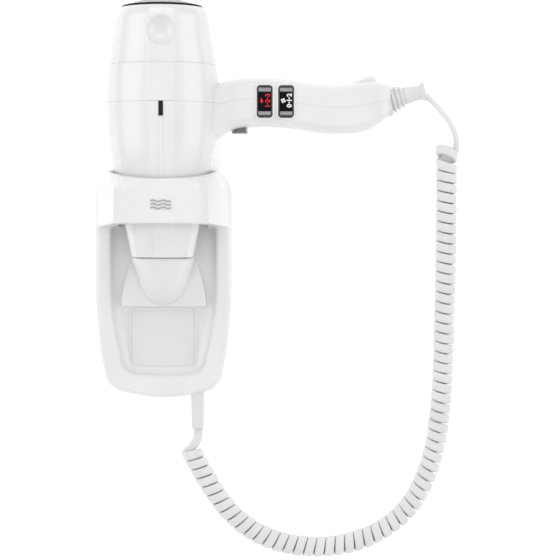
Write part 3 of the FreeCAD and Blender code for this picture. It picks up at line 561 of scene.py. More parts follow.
def arc_points(start, through, end, count):
    """Points along a circle's arc, without the last one."""
    (x1, y1), (x2, y2), (x3, y3) = start, through, end
    d = 2 * (x1 * (y2 - y3) + x2 * (y3 - y1) + x3 * (y1 - y2))
    s1, s2, s3 = x1 ** 2 + y1 ** 2, x2 ** 2 + y2 ** 2, x3 ** 2 + y3 ** 2
    ux = (s1 * (y2 - y3) + s2 * (y3 - y1) + s3 * (y1 - y2)) / d
    uy = (s1 * (x3 - x2) + s2 * (x1 - x3) + s3 * (x2 - x1)) / d
    a1, a2, a3 = (math.atan2(y - uy, x - ux) for x, y in (start, through, end))
    full = 2 * math.pi
    sweep = (a3 - a1) % full
    if (a2 - a1) % full > sweep:
        sweep -= full
    r = math.hypot(x1 - ux, y1 - uy)
    angles = [a1 + sweep * k / count for k in range(count)]
    return [(ux + r * math.cos(a), uy + r * math.sin(a)) for a in angles]


def grip_outline(height, depth):
    """The grip's section as (y, z) about its middle: four bowed sides between soft ridges."""
    top, low = height / 2 - RIDGE_TOP * height / 37, -height / 2 + RIDGE_LOW * height / 37
    y, y_low, bow = depth / 2 - 0.5, depth / 2 - 1.2, 0.5
    middle = (top + low) / 2
    points = arc_points((-y, top), (0, height / 2), (y, top), 44)
    points += arc_points((y, top), (y + bow, middle), (y_low, low), 40)
    points += arc_points((y_low, low), (0, -height / 2), (-y_low, low), 44)
    points += arc_points((-y_low, low), (-y - bow, middle), (-y, top), 40)
    points = np.array(points)
    for _ in range(3):
        points = 0.25 * np.roll(points, 1, 0) + 0.5 * points + 0.25 * np.roll(points, -1, 0)
    return points


def resample(points, count):
    """Evenly spaced points along a line."""
    points = np.asarray(points)
    steps = np.concatenate([[0], np.cumsum(np.linalg.norm(np.diff(points, axis=0), axis=1))])
    at = np.linspace(0, steps[-1], count)
    return np.stack([np.interp(at, steps, points[:, k]) for k in range(points.shape[1])], 1)


def grip_half(outline, parting, upper, count=58):
    """Half of a section on one side of the parting line, its open side closed straight across."""
    sign = 1 if upper else -1
    level = parting + sign * SEAM_HALF
    keep = outline[:, 1] * sign > level * sign
    start = next(i for i in range(len(outline)) if keep[i] and not keep[i - 1])
    arc = [outline[(start + k) % len(outline)] for k in range(int(keep.sum()))]

    def on_level(inside, outside):
        t = (level - inside[1]) / (outside[1] - inside[1])
        return inside + t * (outside - inside)
    first = on_level(arc[0], outline[start - 1])
    last = on_level(arc[-1], outline[(start + len(arc)) % len(outline)])
    body = resample(np.array([first, *arc, last]), count)
    for end in (0, -1):
        body[end, 0] -= math.copysign(SEAM_LIP, body[end, 0])
    across = np.linspace(body[-1], body[0], 6)[1:-1]
    return np.concatenate([body, across])


def make_grip_half(upper):
    xs, middles, heights, depths = (np.array(v) for v in zip(*GRIP))
    px, pz = zip(*PARTING)
    rings = []
    for x in np.linspace(GRIP_START_X, GRIP_END_X, 96):
        middle = float(smooth_between(xs, middles, x))
        height, depth = (float(smooth_between(xs, sizes, x)) for sizes in (heights, depths))
        outline = grip_outline(height, depth)
        half = grip_half(outline, float(smooth_between(px, pz, x)) - middle, upper)
        rings.append(np.stack([np.full(len(half), x), AXIS_Y + half[:, 0], middle + half[:, 1]], 1))
    last = rings[-1]
    centre = last.mean(0)
    for k in range(1, 5):
        angle = math.pi / 2 * k / 4
        ring = centre + (last - centre) * (1 - 0.10 * (1 - math.cos(angle)))
        ring[:, 0] = GRIP_END_X + 1.3 * math.sin(angle)
        rings.append(ring)
    return loft_solid("grip_half", rings, SHELL, 28)


SWITCHES = ("heat", "speed")
HOUSING_BACK_Y = -52.5


BUTTON_HALF = np.array([6.0, 4.0])
BUTTON_GAP = 0.35


def switch_place(kind):
    """(x, z) of a switch frame's middle, and half its width and height."""
    middle, half = node_middle(kind + "_switch_frame")
    return middle[[0, 2]], half[[0, 2]]


def switch_cutter(kind):
    """Cuts a pocket a little larger than a switch, from in front of the grip to behind the housing."""
    centre, half = switch_place(kind)
    return rounded_block("cutter", centre, half + 0.12, -80.0, HOUSING_BACK_Y + 0.5, 2.4, 0.05, SHELL)


def button_cutter():
    middle, _ = node_middle("cold_shot_button")
    low_z = node_box("cold_shot_button")[0][2]
    return rounded_block("cutter", (middle[0], AXIS_Y), BUTTON_HALF + BUTTON_GAP, low_z - 4, low_z + 9, 2.3, 0.05,
                         SHELL, axis=2)


def make_shells():
    front_barrel = barrel_part("front_barrel", MOUTH_Z, SEAM_Z - SEAM_HALF, True, 0.4, 0.22,
                               extra_levels=(SLOT_LOW_Z - 0.2, SLOT_LOW_Z + 0.1, SLOT_LOW_Z + 0.4))
    rear_barrel = barrel_part("rear_barrel", SEAM_Z + SEAM_HALF, CAP_SEAM_Z - SEAM_HALF, False, 0.22, 0.22)
    halves = {upper: make_grip_half(upper) for upper in (True, False)}
    for half in halves.values():
        for kind in SWITCHES:
            cut(half, switch_cutter(kind))
    cut(halves[False], button_cutter())
    front = join("front_shell_moulding", [front_barrel, halves[False]], 30)
    rear = join("rear_shell_moulding", [rear_barrel, halves[True]], 30)
    place(front, HANDSET, "shell_white", "front_shell")
    place(rear, HANDSET, "shell_white", "rear_shell")


def make_slot_key():
    """Black insert that fills the front shell's slot, a little wider towards its top."""
    z_low, z_high = SLOT_LOW_Z + 0.3, SEAM_Z - 0.35
    front = AXIS_Y - 43.15
    rings = []
    for z, half in ((z_low, 1.38), (z_low + 0.2, 1.5), (z_high - 0.2, 1.56), (z_high, 1.5)):
        rings.append([(-half, front + 3.0, z), (-half, front + 0.2, z), (-half + 0.2, front, z),
                      (half - 0.2, front, z), (half, front + 0.2, z), (half, front + 3.0, z)])
    place(lean(loft_solid("slot_key", rings, BLACK, 40)), HANDSET, "rocker_black", "slot_insert")


def make_lug():
    """Low fin on the rear edge of the grip."""
    xs = np.linspace(139.0, 160.5, 22)
    crest = smooth_between([139.0, 145.0, 152.0, 156.0, 158.5, 160.5],
                           [152.6, 155.4, 158.4, 159.3, 158.5, 155.0], xs)
    foot, half = 150.0, 2.9
    rings = []
    for x, top in zip(xs, crest):
        profile = [(-half, foot), (-half, top - 1.6), (-half * 0.75, top - 0.55), (-half * 0.3, top - 0.05),
                   (half * 0.3, top - 0.05), (half * 0.75, top - 0.55), (half, top - 1.6), (half, foot)]
        rings.append([(x, AXIS_Y + y, z) for y, z in profile])
    lug = loft_solid("hanging_fin", rings, SHELL, 40)
    place(lug, HANDSET, "shell_white", "hanging_lug")


def make_surrounds():
    """Raised white lips round the two switches, following the grip's face."""
    profile = ((0.15, -64.0), (0.15, -65.95), (0.35, -66.2), (0.8, -66.25), (1.25, -66.0), (1.7, -65.2),
               (1.8, -64.0))
    lips = []
    for kind in SWITCHES:
        centre, half = switch_place(kind)
        rings = [level_ring(rounded_rectangle(*(half + grow), 2.4 + grow), *centre, level)
                 for grow, level in profile]
        lips.append(hoop_solid("lip", rings, SHELL, 50))
    place(join("switch_surrounds", lips, 50), HANDSET, "shell_white")


# ---- rear cap ----------------------------------------------------------------------------------------------

SHOULDER_Z = 203.5         # the cap rounds over to its rim from here
DIMPLE_CENTRE, DIMPLE_RADIUS = (0.0, AXIS_Y - 43.2, 191.6), 12.6


def make_cap():
    low = CAP_SEAM_Z + SEAM_HALF
    rows = [(low, 0.22), (low + 0.06, 0.08), (low + 0.22, 0.0)]
    rows += [(z, 0.0) for z in np.arange(170.0, SHOULDER_Z, 1.0)]
    rings = [barrel_ring(z, inset, False) for z, inset in rows]
    shoulder = barrel_ring(SHOULDER_Z, 0.0, False)
    middle = np.array([0.0, AXIS_Y, 0.0])
    radial = (shoulder - middle) * np.array([1, 1, 0])
    size = np.linalg.norm(radial, axis=1, keepdims=True)
    for z, r in ((204.6, 34.35), (205.6, 33.95), (206.6, 33.3), (207.5, 32.5), (208.1, 31.9), (208.4, 31.4),
                 (208.45, 30.9)):
        ring = middle + radial / size * (r + (size - size.mean()) * max(0.0, (208.4 - z) / 6))
        ring[:, 2] = z
        rings.append(ring)
    for z, r in ((208.45, 28.7), (207.9, 28.3), (204.0, 28.0), (200.0, 27.0), (182.0, 27.0), (169.0, 34.0)):
        ring = middle + radial / size * r
        ring[:, 2] = z
        rings.append(ring)
    cap = lean(hoop_solid("rear_cap_moulding", rings, SHELL, 28))
    cut(cap, turned_ball(DIMPLE_CENTRE, DIMPLE_RADIUS))
    shade(cap.data, 24)
    spigot = turned_solid("spigot", [(36.0, 162.0), (37.3, 162.0), (37.5, 162.4), (37.5, 170.0), (36.0, 170.0)],
                          SHELL, 96)
    cap = join("rear_cap_moulding", [cap, spigot], 24)
    place(cap, "rear_cap", "shell_white", "rear_cap")


def turned_ball(centre, radius, columns=96, rows=48):
    """Ball of rings about an axis along Y."""
    x, y, z = centre
    rings = []
    for angle in (math.pi * r / rows for r in range(1, rows)):
        turns = [2 * math.pi * c / columns for c in range(columns)]
        rings.append([(x + radius * math.sin(angle) * math.cos(turn), y + radius * math.cos(angle),
                       z + radius * math.sin(angle) * math.sin(turn)) for turn in turns])
    return loft_solid("ball", rings, SHELL)


def make_inlet():
    z = CAP_TOP_Z
    profile = [(27.4, z), (30.0, z), (30.5, z + 0.5), (30.45, z + 1.2), (30.0, z + 1.6), (29.2, z + 1.85),
               (28.2, z + 1.85), (27.4, z + 1.3)]
    ring = turned_solid("inlet_ring", profile, DARK_CHROME, 160, sharp_degrees=60)
    place(lean(ring), "rear_cap", "ring_chrome", "chrome_ring")
    place(lean(woven_dome()), "rear_cap", "grille_steel", "inlet_grille")


def woven_dome():
    """Domed wire cloth: two families of round-backed wires that pass over and under each other."""
    low, high = node_box("inlet_grille")
    rim, rise = 27.6, 0.62 * (high[2] - low[2])
    radius = (rim ** 2 + rise ** 2) / (2 * rise)
    pitch, wire = 1.45, 0.34
    points, faces = [], []
    turn = np.linspace(0, 2 * math.pi, 6, endpoint=False)
    count = int(rim / pitch)
    for family in range(2):
        for k in range(-count, count + 1):
            offset = k * pitch
            reach = math.sqrt(max(rim ** 2 - offset ** 2, 0.0))
            steps = max(3, int(2 * reach / (pitch / 2)))
            along = np.linspace(-reach, reach, steps)
            weave = 0.20 * np.cos(math.pi * along / pitch + math.pi * (k + family))
            height = low[2] + np.sqrt(radius ** 2 - offset ** 2 - along ** 2) - (radius - rise) + weave
            first = len(points)
            for a, h in zip(along, height):
                for t in turn:
                    side, lift = offset + wire * math.cos(t), h + wire * math.sin(t)
                    x, y = (side, a) if family else (a, side)
                    points.append((x, AXIS_Y + y, lift))
            faces += closed_faces(steps, len(turn), first)
    return make_piece("inlet_mesh", points, faces, MESH_STEEL, 60)


# ---- switches and button --------------------------------------------------------------------------------------

def make_switch(kind):
    """Frame with slightly bowed ends and a well for its rocker, and the rocker."""
    (x, z), (half_x, half_z) = switch_place(kind)
    front = node_box(kind + "_switch_frame")[0][1]
    loops = []
    for inset, level in ((0.0, HOUSING_BACK_Y), (0.0, front + 0.55), (0.18, front + 0.12), (0.5, front),
                         (0.75, front + 0.1), (0.9, front + 0.5), (0.9, -57.0), (0.9, -56.0)):
        outline = rounded_rectangle(half_x - inset, half_z - inset, 2.2 - inset * 0.8)
        outline[:, 1] -= np.sign(outline[:, 1]) * 0.35 * (outline[:, 0] / half_x) ** 2
        loops.append(level_ring(outline, x, z, level))
    housing = loft_solid(kind + "_switch_housing", loops, FRAME_GREY, 40)
    place(housing, HANDSET, "frame_grey", kind + "_switch_frame")
    make_rocker(kind, x, z)


PIVOT_Y = -63.0
ROCKER_REACH = 10.6
ROCKER_HALF = 4.6          # half its width
DIGIT_SIZE = 4.9
FACE_HALF = 7.3            # half the length of the black printed face


def rocker_profile():
    """(z, y) from one end of the rocker to the other, relative to its pivot's height."""
    points = []
    for angle in map(math.radians, np.linspace(-8, 21, 6)):
        points.append((-ROCKER_REACH * math.cos(angle), PIVOT_Y - ROCKER_REACH * math.sin(angle)))
    points += [(-9.45, -67.55), (-9.0, -67.6), (-8.5, -67.35), (-FACE_HALF - 0.1, -66.35), (-FACE_HALF, -66.15)]
    points += [(t, rocker_face_y(t)) for t in np.linspace(-FACE_HALF + 0.2, 0, 8)]
    return points + [(-a, b) for a, b in points[-2::-1]]


def rocker_face_y(z):
    """Depth of the shallow hollow across a rocker's face."""
    return -66.05 + 0.35 * (1 - (z / FACE_HALF) ** 2)


def make_rocker(kind, x, z):
    half, edge = ROCKER_HALF, 0.3
    rings = []
    for offset, inset in ((-half, edge), (-half + edge * 0.3, edge * 0.3), (-half + edge, 0.0), (half - edge, 0.0),
                          (half - edge * 0.3, edge * 0.3), (half, edge)):
        rings.append([(x + offset, b + inset, z + a * (1 - inset / 14)) for a, b in rocker_profile()])
    rocker = loft_solid(kind + "_rocker_key", rings, ROCKER_GREY, 40)
    rocker.data.materials.append(ROCKER_FACE)
    for polygon in rocker.data.polygons:
        corners = [rocker.data.vertices[v].co for v in polygon.vertices]
        centre = sum(corners, Vector()) / len(corners) / MM
        if abs(centre.z - z) < FACE_HALF and centre.y < -65.0:
            polygon.material_index = 1
    place(rocker, kind + "_rocker", "rocker_black", kind + "_rocker")


def turned_by(x, z, degrees):
    a = math.radians(degrees)
    return x * math.cos(a) - z * math.sin(a), x * math.sin(a) + z * math.cos(a)


def glyph(name, text, size, centre, tilt, material, body, bold):
    """A flat printed character on a rocker's face, reading upwards."""
    curve = bpy.data.curves.new(name, "FONT")
    curve.body = text
    curve.size = size
    curve.align_x, curve.align_y = "CENTER", "CENTER"
    curve.offset = bold
    curve.resolution_u = 6
    holder = bpy.data.objects.new(name, curve)
    mesh = bpy.data.meshes.new_from_object(holder)
    bpy.data.objects.remove(holder)
    corners = np.array([v.co for v in mesh.vertices])
    middle = (corners.max(0) + corners.min(0)) / 2
    flat = corners - middle
    x, z = turned_by(flat[:, 0], flat[:, 1], tilt)
    return print_on(name, mesh, x, z, centre, material, body)


def print_on(name, mesh, x, z, centre, material, body):
    """Lays a flat mesh on a rocker's hollow face and gives it a print's thickness."""
    work = bmesh.new()
    work.from_mesh(mesh)
    for vertex, vx, vz in zip(work.verts, x, z):
        y = rocker_face_y(centre[1] + vz) - 0.03
        vertex.co = Vector((centre[0] + vx, y, vz + centre[1] + centre[2])) * MM
    bmesh.ops.solidify(work, geom=work.faces[:], thickness=0.05 * MM)
    work.to_mesh(mesh)
    work.free()
    return place(piece_from_mesh(name, mesh, material, 40), body, "rocker_black")


def flat_shape(name, outline, centre, material, body):
    mesh = bpy.data.meshes.new(name)
    mesh.from_pydata([(a, 0, b) for a, b in outline], [], [tuple(range(len(outline)))])
    return print_on(name, mesh, [a for a, _ in outline], [b for _, b in outline], centre, material, body)


def make_digits(kind, marks, across, material, bold):
    """Digits up a rocker's face with a dash between each two."""
    (x, z), _ = switch_place(kind)
    for text, level in marks:
        name = "%s_mark_%d" % (kind, round(10 * (level + 10)))
        glyph(name, text, DIGIT_SIZE, (x + across, level, z), 90, material, kind + "_rocker", bold)


def make_marks():
    """Printing on the rockers: digits, a drop for heat and four blades for speed."""
    make_digits("heat", (("1", -3.4), ("-", -1.6), ("2", 0.4), ("-", 2.5), ("3", 4.6)), 2.2, RED_PRINT, 0.16)
    (x, z), _ = switch_place("heat")
    drop = [turned_by(1.25 * math.sin(t) * math.sin(t / 2) ** 0.7, 2.0 * math.cos(t), 14)
            for t in np.linspace(0, 2 * math.pi, 28)[:-1]]
    flat_shape("heat_symbol", drop, (x - 2.3, 0.7, z), RED_PRINT, "heat_rocker")
    make_digits("speed", (("0", -3.1), ("-", -0.8), ("1", 0.9), ("-", 2.5), ("2", 4.8)), 2.3, WHITE_PRINT, 0.17)
    (x, z), _ = switch_place("speed")
    near, far = 0.12, 1.45
    for index in range(4):
        blade = [turned_by(p, q, 25 + 90 * index) for p, q in ((near, near), (far, near), (far, far), (near, far))]
        flat_shape("speed_symbol_%d" % index, blade, (x - 2.1, 0.7, z), WHITE_PRINT, "speed_rocker")


def make_button():
    middle, _ = node_middle("cold_shot_button")
    low_z = node_box("cold_shot_button")[0][2]
    cap = rounded_block("cold_shot_key", (middle[0], AXIS_Y), BUTTON_HALF, low_z, low_z + 6.6, 2.0, 1.0, CHROME,
                        axis=2)
    place(cap, "cold_shot_button", "ring_chrome", "cold_shot_button")


# ---- boots ----------------------------------------------------------------------------------------------------

def swept(name, centres, tangents, sections, material, sharp_degrees=40):
    """Solid of round sections on a plane curve in the X-Z plane."""
    rings = []
    turn = np.linspace(0, 2 * math.pi, 48, endpoint=False)
    for centre, tangent, radius in zip(centres, tangents, sections):
        across = np.array([-tangent[2], 0.0, tangent[0]])
        side = np.array([0.0, 1.0, 0.0])
        rings.append(centre + radius * (np.outer(np.cos(turn), across) + np.outer(np.sin(turn), side)))
    return loft_solid(name, rings, material, sharp_degrees)


def make_handle_boot():
    """Ringed strain relief: bellows, sleeve and end flange, its axis easing from 18 to 11 degrees."""
    profile = [(-2.0, 11.6), (0.2, 11.6), (0.7, 11.3), (0.9, 8.6), (1.6, 8.2), (2.3, 8.6), (2.5, 10.0), (2.9, 10.5),
               (4.0, 10.3), (4.4, 9.8), (4.6, 7.8), (5.2, 7.5), (5.9, 7.8), (6.1, 9.0), (6.5, 9.45), (7.6, 9.2),
               (8.0, 8.7), (8.2, 7.0), (8.8, 6.8), (9.4, 7.0), (9.6, 8.0), (10.0, 8.35), (11.0, 8.1), (11.4, 7.7),
               (11.6, 6.4), (12.1, 6.2), (12.6, 6.4), (12.8, 6.9), (14.0, 6.6), (18.0, 6.0), (22.0, 5.55),
               (24.6, 5.5), (25.4, 5.9), (25.9, 7.0), (26.5, 7.4), (27.6, 7.4), (28.3, 7.0), (28.5, 6.2)]
    centres, tangents = [], []
    here, before = np.array([169.3, AXIS_Y, 140.7]), 0.0
    for distance, _ in profile:
        angle = math.radians(np.interp(distance, [0, profile[-1][0]], [18.0, 11.0]))
        tangent = np.array([math.cos(angle), 0.0, math.sin(angle)])
        here = here + tangent * (distance - before)
        before = distance
        centres.append(here)
        tangents.append(tangent)
    boot = swept("handle_boot", centres, tangents, [r for _, r in profile], BOOT)
    place(boot, HANDSET, "boot_white", "handle_cord_boot")


def make_holder_boot():
    """Tapering sleeve that drifts a little to the right on its way down."""
    x, y, _ = node_middle("holder_cord_boot")[0]
    rings = []
    for z, half_x, half_y in ((-78.0, 5.1, 4.3), (-84.0, 5.05, 4.25), (-98.0, 4.85, 4.0), (-109.0, 4.65, 3.8),
                              (-111.2, 4.5, 3.7), (-112.0, 4.2, 3.4), (-112.3, 3.6, 2.9)):
        outline = rounded_rectangle(half_x, half_y, 2.2)
        shift = (-z - 84.0) * 0.012 - 0.7
        rings.append(np.stack([x + shift + outline[:, 0], y + outline[:, 1], np.full(len(outline), z)], 1))
    boot = loft_solid("holder_boot", rings, BOOT, 40)
    place(boot, HOLDER, "boot_white", "holder_cord_boot")


# ---- holder ---------------------------------------------------------------------------------------------------

def outline_points(steps):
    """Closed polygon from corners (x, z) and arcs (via x, via z, end x, end z)."""
    points = [steps[0]]
    for step in steps[1:]:
        if len(step) == 2:
            points.append(step)
        else:
            points += arc_points(points[-1], step[:2], step[2:], 10)[1:] + [step[2:]]
    return np.array(points)


def holder_outline():
    """(x, z) outline of the cover."""
    half, low, top = 52.0, HOLDER_LOW_Z, HOLDER_TOP_Z
    return outline_points([
        (half - 16, top), (half - 4.7, top - 4.7, half, top - 16), (half, 12.0),
        (half - 1.8, -36.0, half - 6.2, -66.0), (half - 11.2, -78.0, half - 23.0, low + 4.0),
        (0.0, low, -half + 23.0, low + 4.0), (-half + 11.2, -78.0, -half + 6.2, -66.0),
        (-half + 1.8, -36.0, -half, 12.0), (-half, top - 16), (-half + 4.7, top - 4.7, -half + 16, top)])


def recess_outline():
    """(x, z) outline of the recess at the rim; it runs out behind the hoop at its top."""
    return outline_points([
        (40.7, HOLDER_TOP_Z + 12), (40.7, 12.0), (39.6, -26.0, 33.6, -55.0), (29.5, -66.2, 19.0, -70.2),
        (0.0, -71.0, -19.0, -70.2), (-29.5, -66.2, -33.6, -55.0), (-39.6, -26.0, -40.7, 12.0),
        (-40.7, HOLDER_TOP_Z + 12)])


def hoop_outline():
    """(x, y) outline of the hoop, seen from above."""
    return outline_points([
        (51.0, 2.0), (51.0, -22.0), (35.6, -86.3), (29.8, -91.7), (0.0, -94.2, -29.8, -91.7),
        (-35.6, -86.3), (-51.0, -22.0), (-51.0, 2.0)])


def distance_to(polygon, u, v):
    """Signed distance from points to a closed polygon, negative inside."""
    u, v = np.broadcast_arrays(np.asarray(u, float), np.asarray(v, float))
    best = np.full(u.shape, 1e9)
    inside = np.zeros(u.shape, bool)
    for (x1, y1), (x2, y2) in zip(polygon, np.roll(polygon, -1, 0)):
        ex, ey = x2 - x1, y2 - y1
        length = ex * ex + ey * ey
        if length < 1e-12:
            continue
        t = np.clip(((u - x1) * ex + (v - y1) * ey) / length, 0, 1)
        best = np.minimum(best, (u - x1 - t * ex) ** 2 + (v - y1 - t * ey) ** 2)
        if abs(ey) > 1e-12:
            crosses = (y1 > v) != (y2 > v)
            inside ^= crosses & (u < (v - y1) * ex / ey + x1)
    return np.where(inside, -1, 1) * np.sqrt(best)


def soft_max(a, b, k):
    """The greater of two fields, with a fillet of about k between them."""
    h = np.clip(0.5 + 0.5 * (a - b) / k, 0, 1)
    return b + (a - b) * h + k * h * (1 - h)


def soft_min(a, b, k):
    return -soft_max(-a, -b, k)


HOLDER_POLYGON, RECESS_POLYGON, HOOP_POLYGON = holder_outline(), recess_outline(), hoop_outline()
COVER_EDGE = 4.5           # rounding of the cover's rim
COVER_BACK_Y = -1.5
HOOP_TOP_Z, HOOP_LOW_Z = 88.0, 43.5
HOOP_LIP_RADIUS = 41.6
CRADLE_HALF = 33.6         # half-width of the opening behind the barrel
DEFLECTOR_TOP_Z, DEFLECTOR_HEIGHT = 22.0, 39.0
SCOOP_RADIUS = 24.0
WING_TOP_HALF, WING_SPREAD = 23.5, 9.5


def cover_form(x, y, z):
    """Distance field of the dished cover."""
    side = distance_to(HOLDER_POLYGON, x, z) + COVER_EDGE
    face = RIM_Y + COVER_EDGE - y
    corner = np.hypot(np.maximum(side, 0), np.maximum(face, 0))
    cover = np.minimum(np.maximum(side, face), 0) + corner - COVER_EDGE
    cover = np.maximum(cover, y - COVER_BACK_Y)
    dish = soft_max((distance_to(RECESS_POLYGON, x, z) + 0.40 * (y - RIM_Y)) * 0.93, y - PANEL_Y, 6.0)
    return soft_max(cover, -dish, 2.0)


def hoop_form(x, y, z):
    """Distance field of the hoop, whose top drops and whose underside rises towards the front."""
    lip_z = HOOP_TOP_Z - 5.4 * np.clip((-46.0 - y) / 46.0, 0, 1) ** 1.4
    low_z = HOOP_LOW_Z + 6.5 * np.clip((-12.0 - y) / 80.0, 0, 1)
    plan = distance_to(HOOP_POLYGON, x, y)
    lip_plan = np.hypot(x, y - np.clip(y, AXIS_Y, 50.0)) - HOOP_LIP_RADIUS
    t = np.clip((z - 74.5) / 13.5, 0, 1)
    shoulder = (plan * (1 - t) + lip_plan * t) * 0.86
    body = soft_max(plan, shoulder, 2.5)
    body = soft_max(body, z - lip_z, 1.2)
    body = soft_max(body, low_z - z, 1.6)
    r = np.hypot(x, y - AXIS_Y)
    bore = np.interp(z, [30.0, 44.0, 88.0, 120.0], [34.0, 34.6, 39.2, 42.0]) - r
    body = soft_max(body, bore, 1.2)
    hollow = np.maximum(np.abs(x) - CRADLE_HALF, AXIS_Y - y)
    body = soft_max(body, -hollow, 1.0)
    return np.maximum(body, y - COVER_BACK_Y)


def deflector_form(x, y, z):
    """Distance field of the deflector: a rounded scoop between two flaring wings."""
    top, height = DEFLECTOR_TOP_Z, DEFLECTOR_HEIGHT
    drop = np.clip((top - z) / height, 0, 1)
    scoop_r = SCOOP_RADIUS * (1 - 0.45 * drop) * np.sqrt(np.maximum(1 - drop ** 8, 1e-4))
    scoop = (np.hypot(x, y - (-36.0 + 23.0 * drop)) - scoop_r) * 0.8
    scoop = soft_max(scoop, z - top - 0.45 + LEAN * (y - AXIS_Y), 0.4)
    half = WING_TOP_HALF + WING_SPREAD * (1 - (1 - drop) ** 1.8)
    wing = soft_max((np.abs(x) - half) * 0.95, (-14.5 - 4.5 * drop) - y, 2.0)
    wing = soft_max(wing, z - top, 1.0)
    deflector = soft_min(scoop, wing, 1.8)
    return soft_max(np.maximum(deflector, y + 10.0), (top - height) - z, 0.8)


def holder_form(x, y, z):
    """Distance field of the holder's front moulding, hollow at its back."""
    form = soft_min(cover_form(x, y, z), hoop_form(x, y, z), 3.0)
    form = soft_min(form, deflector_form(x, y, z), 1.2)
    cavity = np.maximum(distance_to(HOLDER_POLYGON, x, z) + WALL, PANEL_Y + WALL - y)
    return np.maximum(form, -cavity)


def surface_net(field, low, high, step):
    """Closed quad mesh of a distance field's zero surface, its points then moved onto that surface."""
    axes = [np.arange(a, b + step, step) for a, b in zip(low, high)]
    gx, gy, gz = axes[0][:, None, None], axes[1][None, :, None], axes[2][None, None, :]
    values = np.broadcast_to(field(gx, gy, gz), [len(a) for a in axes]).astype(np.float32)
    inside = values < 0
    shape = tuple(n - 1 for n in values.shape)
    total = np.zeros(shape + (3,), np.float32)
    count = np.zeros(shape, np.int16)
    corners = [(i, j, k) for i in (0, 1) for j in (0, 1) for k in (0, 1)]

    def corner(grid, c):
        return grid[c[0]:c[0] + shape[0], c[1]:c[1] + shape[1], c[2]:c[2] + shape[2]]
    for a in corners:
        for axis in range(3):
            if a[axis]:
                continue
            b = tuple(v + (1 if k == axis else 0) for k, v in enumerate(a))
            va, vb = corner(values, a), corner(values, b)
            hit = (va < 0) != (vb < 0)
            t = np.where(hit, va / np.where(hit, va - vb, 1), 0)
            for k in range(3):
                total[..., k] += np.where(hit, a[k] + (t if k == axis else 0), 0)
            count += hit
    cells = np.argwhere(count > 0)
    index = np.full(shape, -1, np.int64)
    index[tuple(cells.T)] = np.arange(len(cells))
    local = total[tuple(cells.T)] / count[tuple(cells.T)][:, None]
    points = np.array(low) + (cells + local) * step
    faces = []
    for axis in range(3):
        u, v = (axis + 1) % 3, (axis + 2) % 3
        first = [slice(1, -1)] * 3
        first[axis] = slice(0, values.shape[axis] - 1)
        second = list(first)
        second[axis] = slice(1, values.shape[axis])
        change = inside[tuple(first)] != inside[tuple(second)]
        at = np.argwhere(change)
        offset = np.array([1, 1, 1])
        offset[axis] = 0
        at = at + offset
        flip = inside[tuple(at.T)]
        ring = []
        for du, dv in ((-1, -1), (0, -1), (0, 0), (-1, 0)):
            cell = at.copy()
            cell[:, u] += du
            cell[:, v] += dv
            ring.append(index[tuple(cell.T)])
        quads = np.stack(ring, 1)
        quads[flip] = quads[flip][:, ::-1]
        faces.append(quads)
    faces = np.concatenate(faces)
    for _ in range(4):
        points = pulled_to(field, points)
    return points, faces.tolist()


def field_slope(field, points, h):
    """Slope of a distance field at points, over a span of h each way, and its unit direction."""
    x, y, z = points.T
    slope = np.stack([field(x + h, y, z) - field(x - h, y, z), field(x, y + h, z) - field(x, y - h, z),
                      field(x, y, z + h) - field(x, y, z - h)], 1) / (2 * h)
    return slope, slope / np.maximum(np.linalg.norm(slope, axis=1, keepdims=True), 1e-9)


def pulled_to(field, points):
    """Points moved towards a field's zero surface, by half a millimetre at most."""
    value = field(*points.T)
    slope, _ = field_slope(field, points, 0.05)
    size = np.maximum((slope ** 2).sum(1), 0.25)
    move = slope * (value / size)[:, None]
    length = np.linalg.norm(move, axis=1, keepdims=True)
    return points - move * np.minimum(1, 0.5 / np.maximum(length, 1e-9))


def make_holder():
    step = 1.0
    points, faces = surface_net(holder_form, (-54.3, -96.3, -91.3), (54.5, 1.0, 90.5), step)
    moulding = make_piece("holder_moulding", points, faces, HOLDER_WHITE, 180)
    _, normals = field_slope(holder_form, points, 0.45)
    moulding.data.normals_split_custom_set_from_vertices(normals.tolist())
    place(moulding, HOLDER, "holder_white", "front_cover", "holder_hoop", "air_deflector")


def make_blank_panel():
    """Square cover in a raised frame, with a fine groove between them."""
    middle, half = (v[[0, 2]] for v in node_middle("blank_panel"))
    plate = rounded_block("blank_cover", middle, half - 0.56, PANEL_Y - 0.85, PANEL_Y + 0.4, 3.0, 0.2, PANEL)
    place(plate, HOLDER, "panel_white", "blank_panel")
    loops = []
    for grow, rise in ((-0.44, -0.4), (-0.44, 0.95), (-0.3, 1.15), (0.1, 1.2), (0.9, 0.95), (1.9, 0.35), (3.0, -0.4)):
        loops.append(level_ring(rounded_rectangle(*(half + grow), 3.2 + grow), *middle, PANEL_Y - rise))
    rim = hoop_solid("blank_frame", loops, HOLDER_WHITE, 50)
    place(rim, HOLDER, "holder_white")


MARK_HALF, MARK_TOP_Z, MARK_SPACING = 7.5, 66.5, 2.6
STROKE_HALF = 0.42


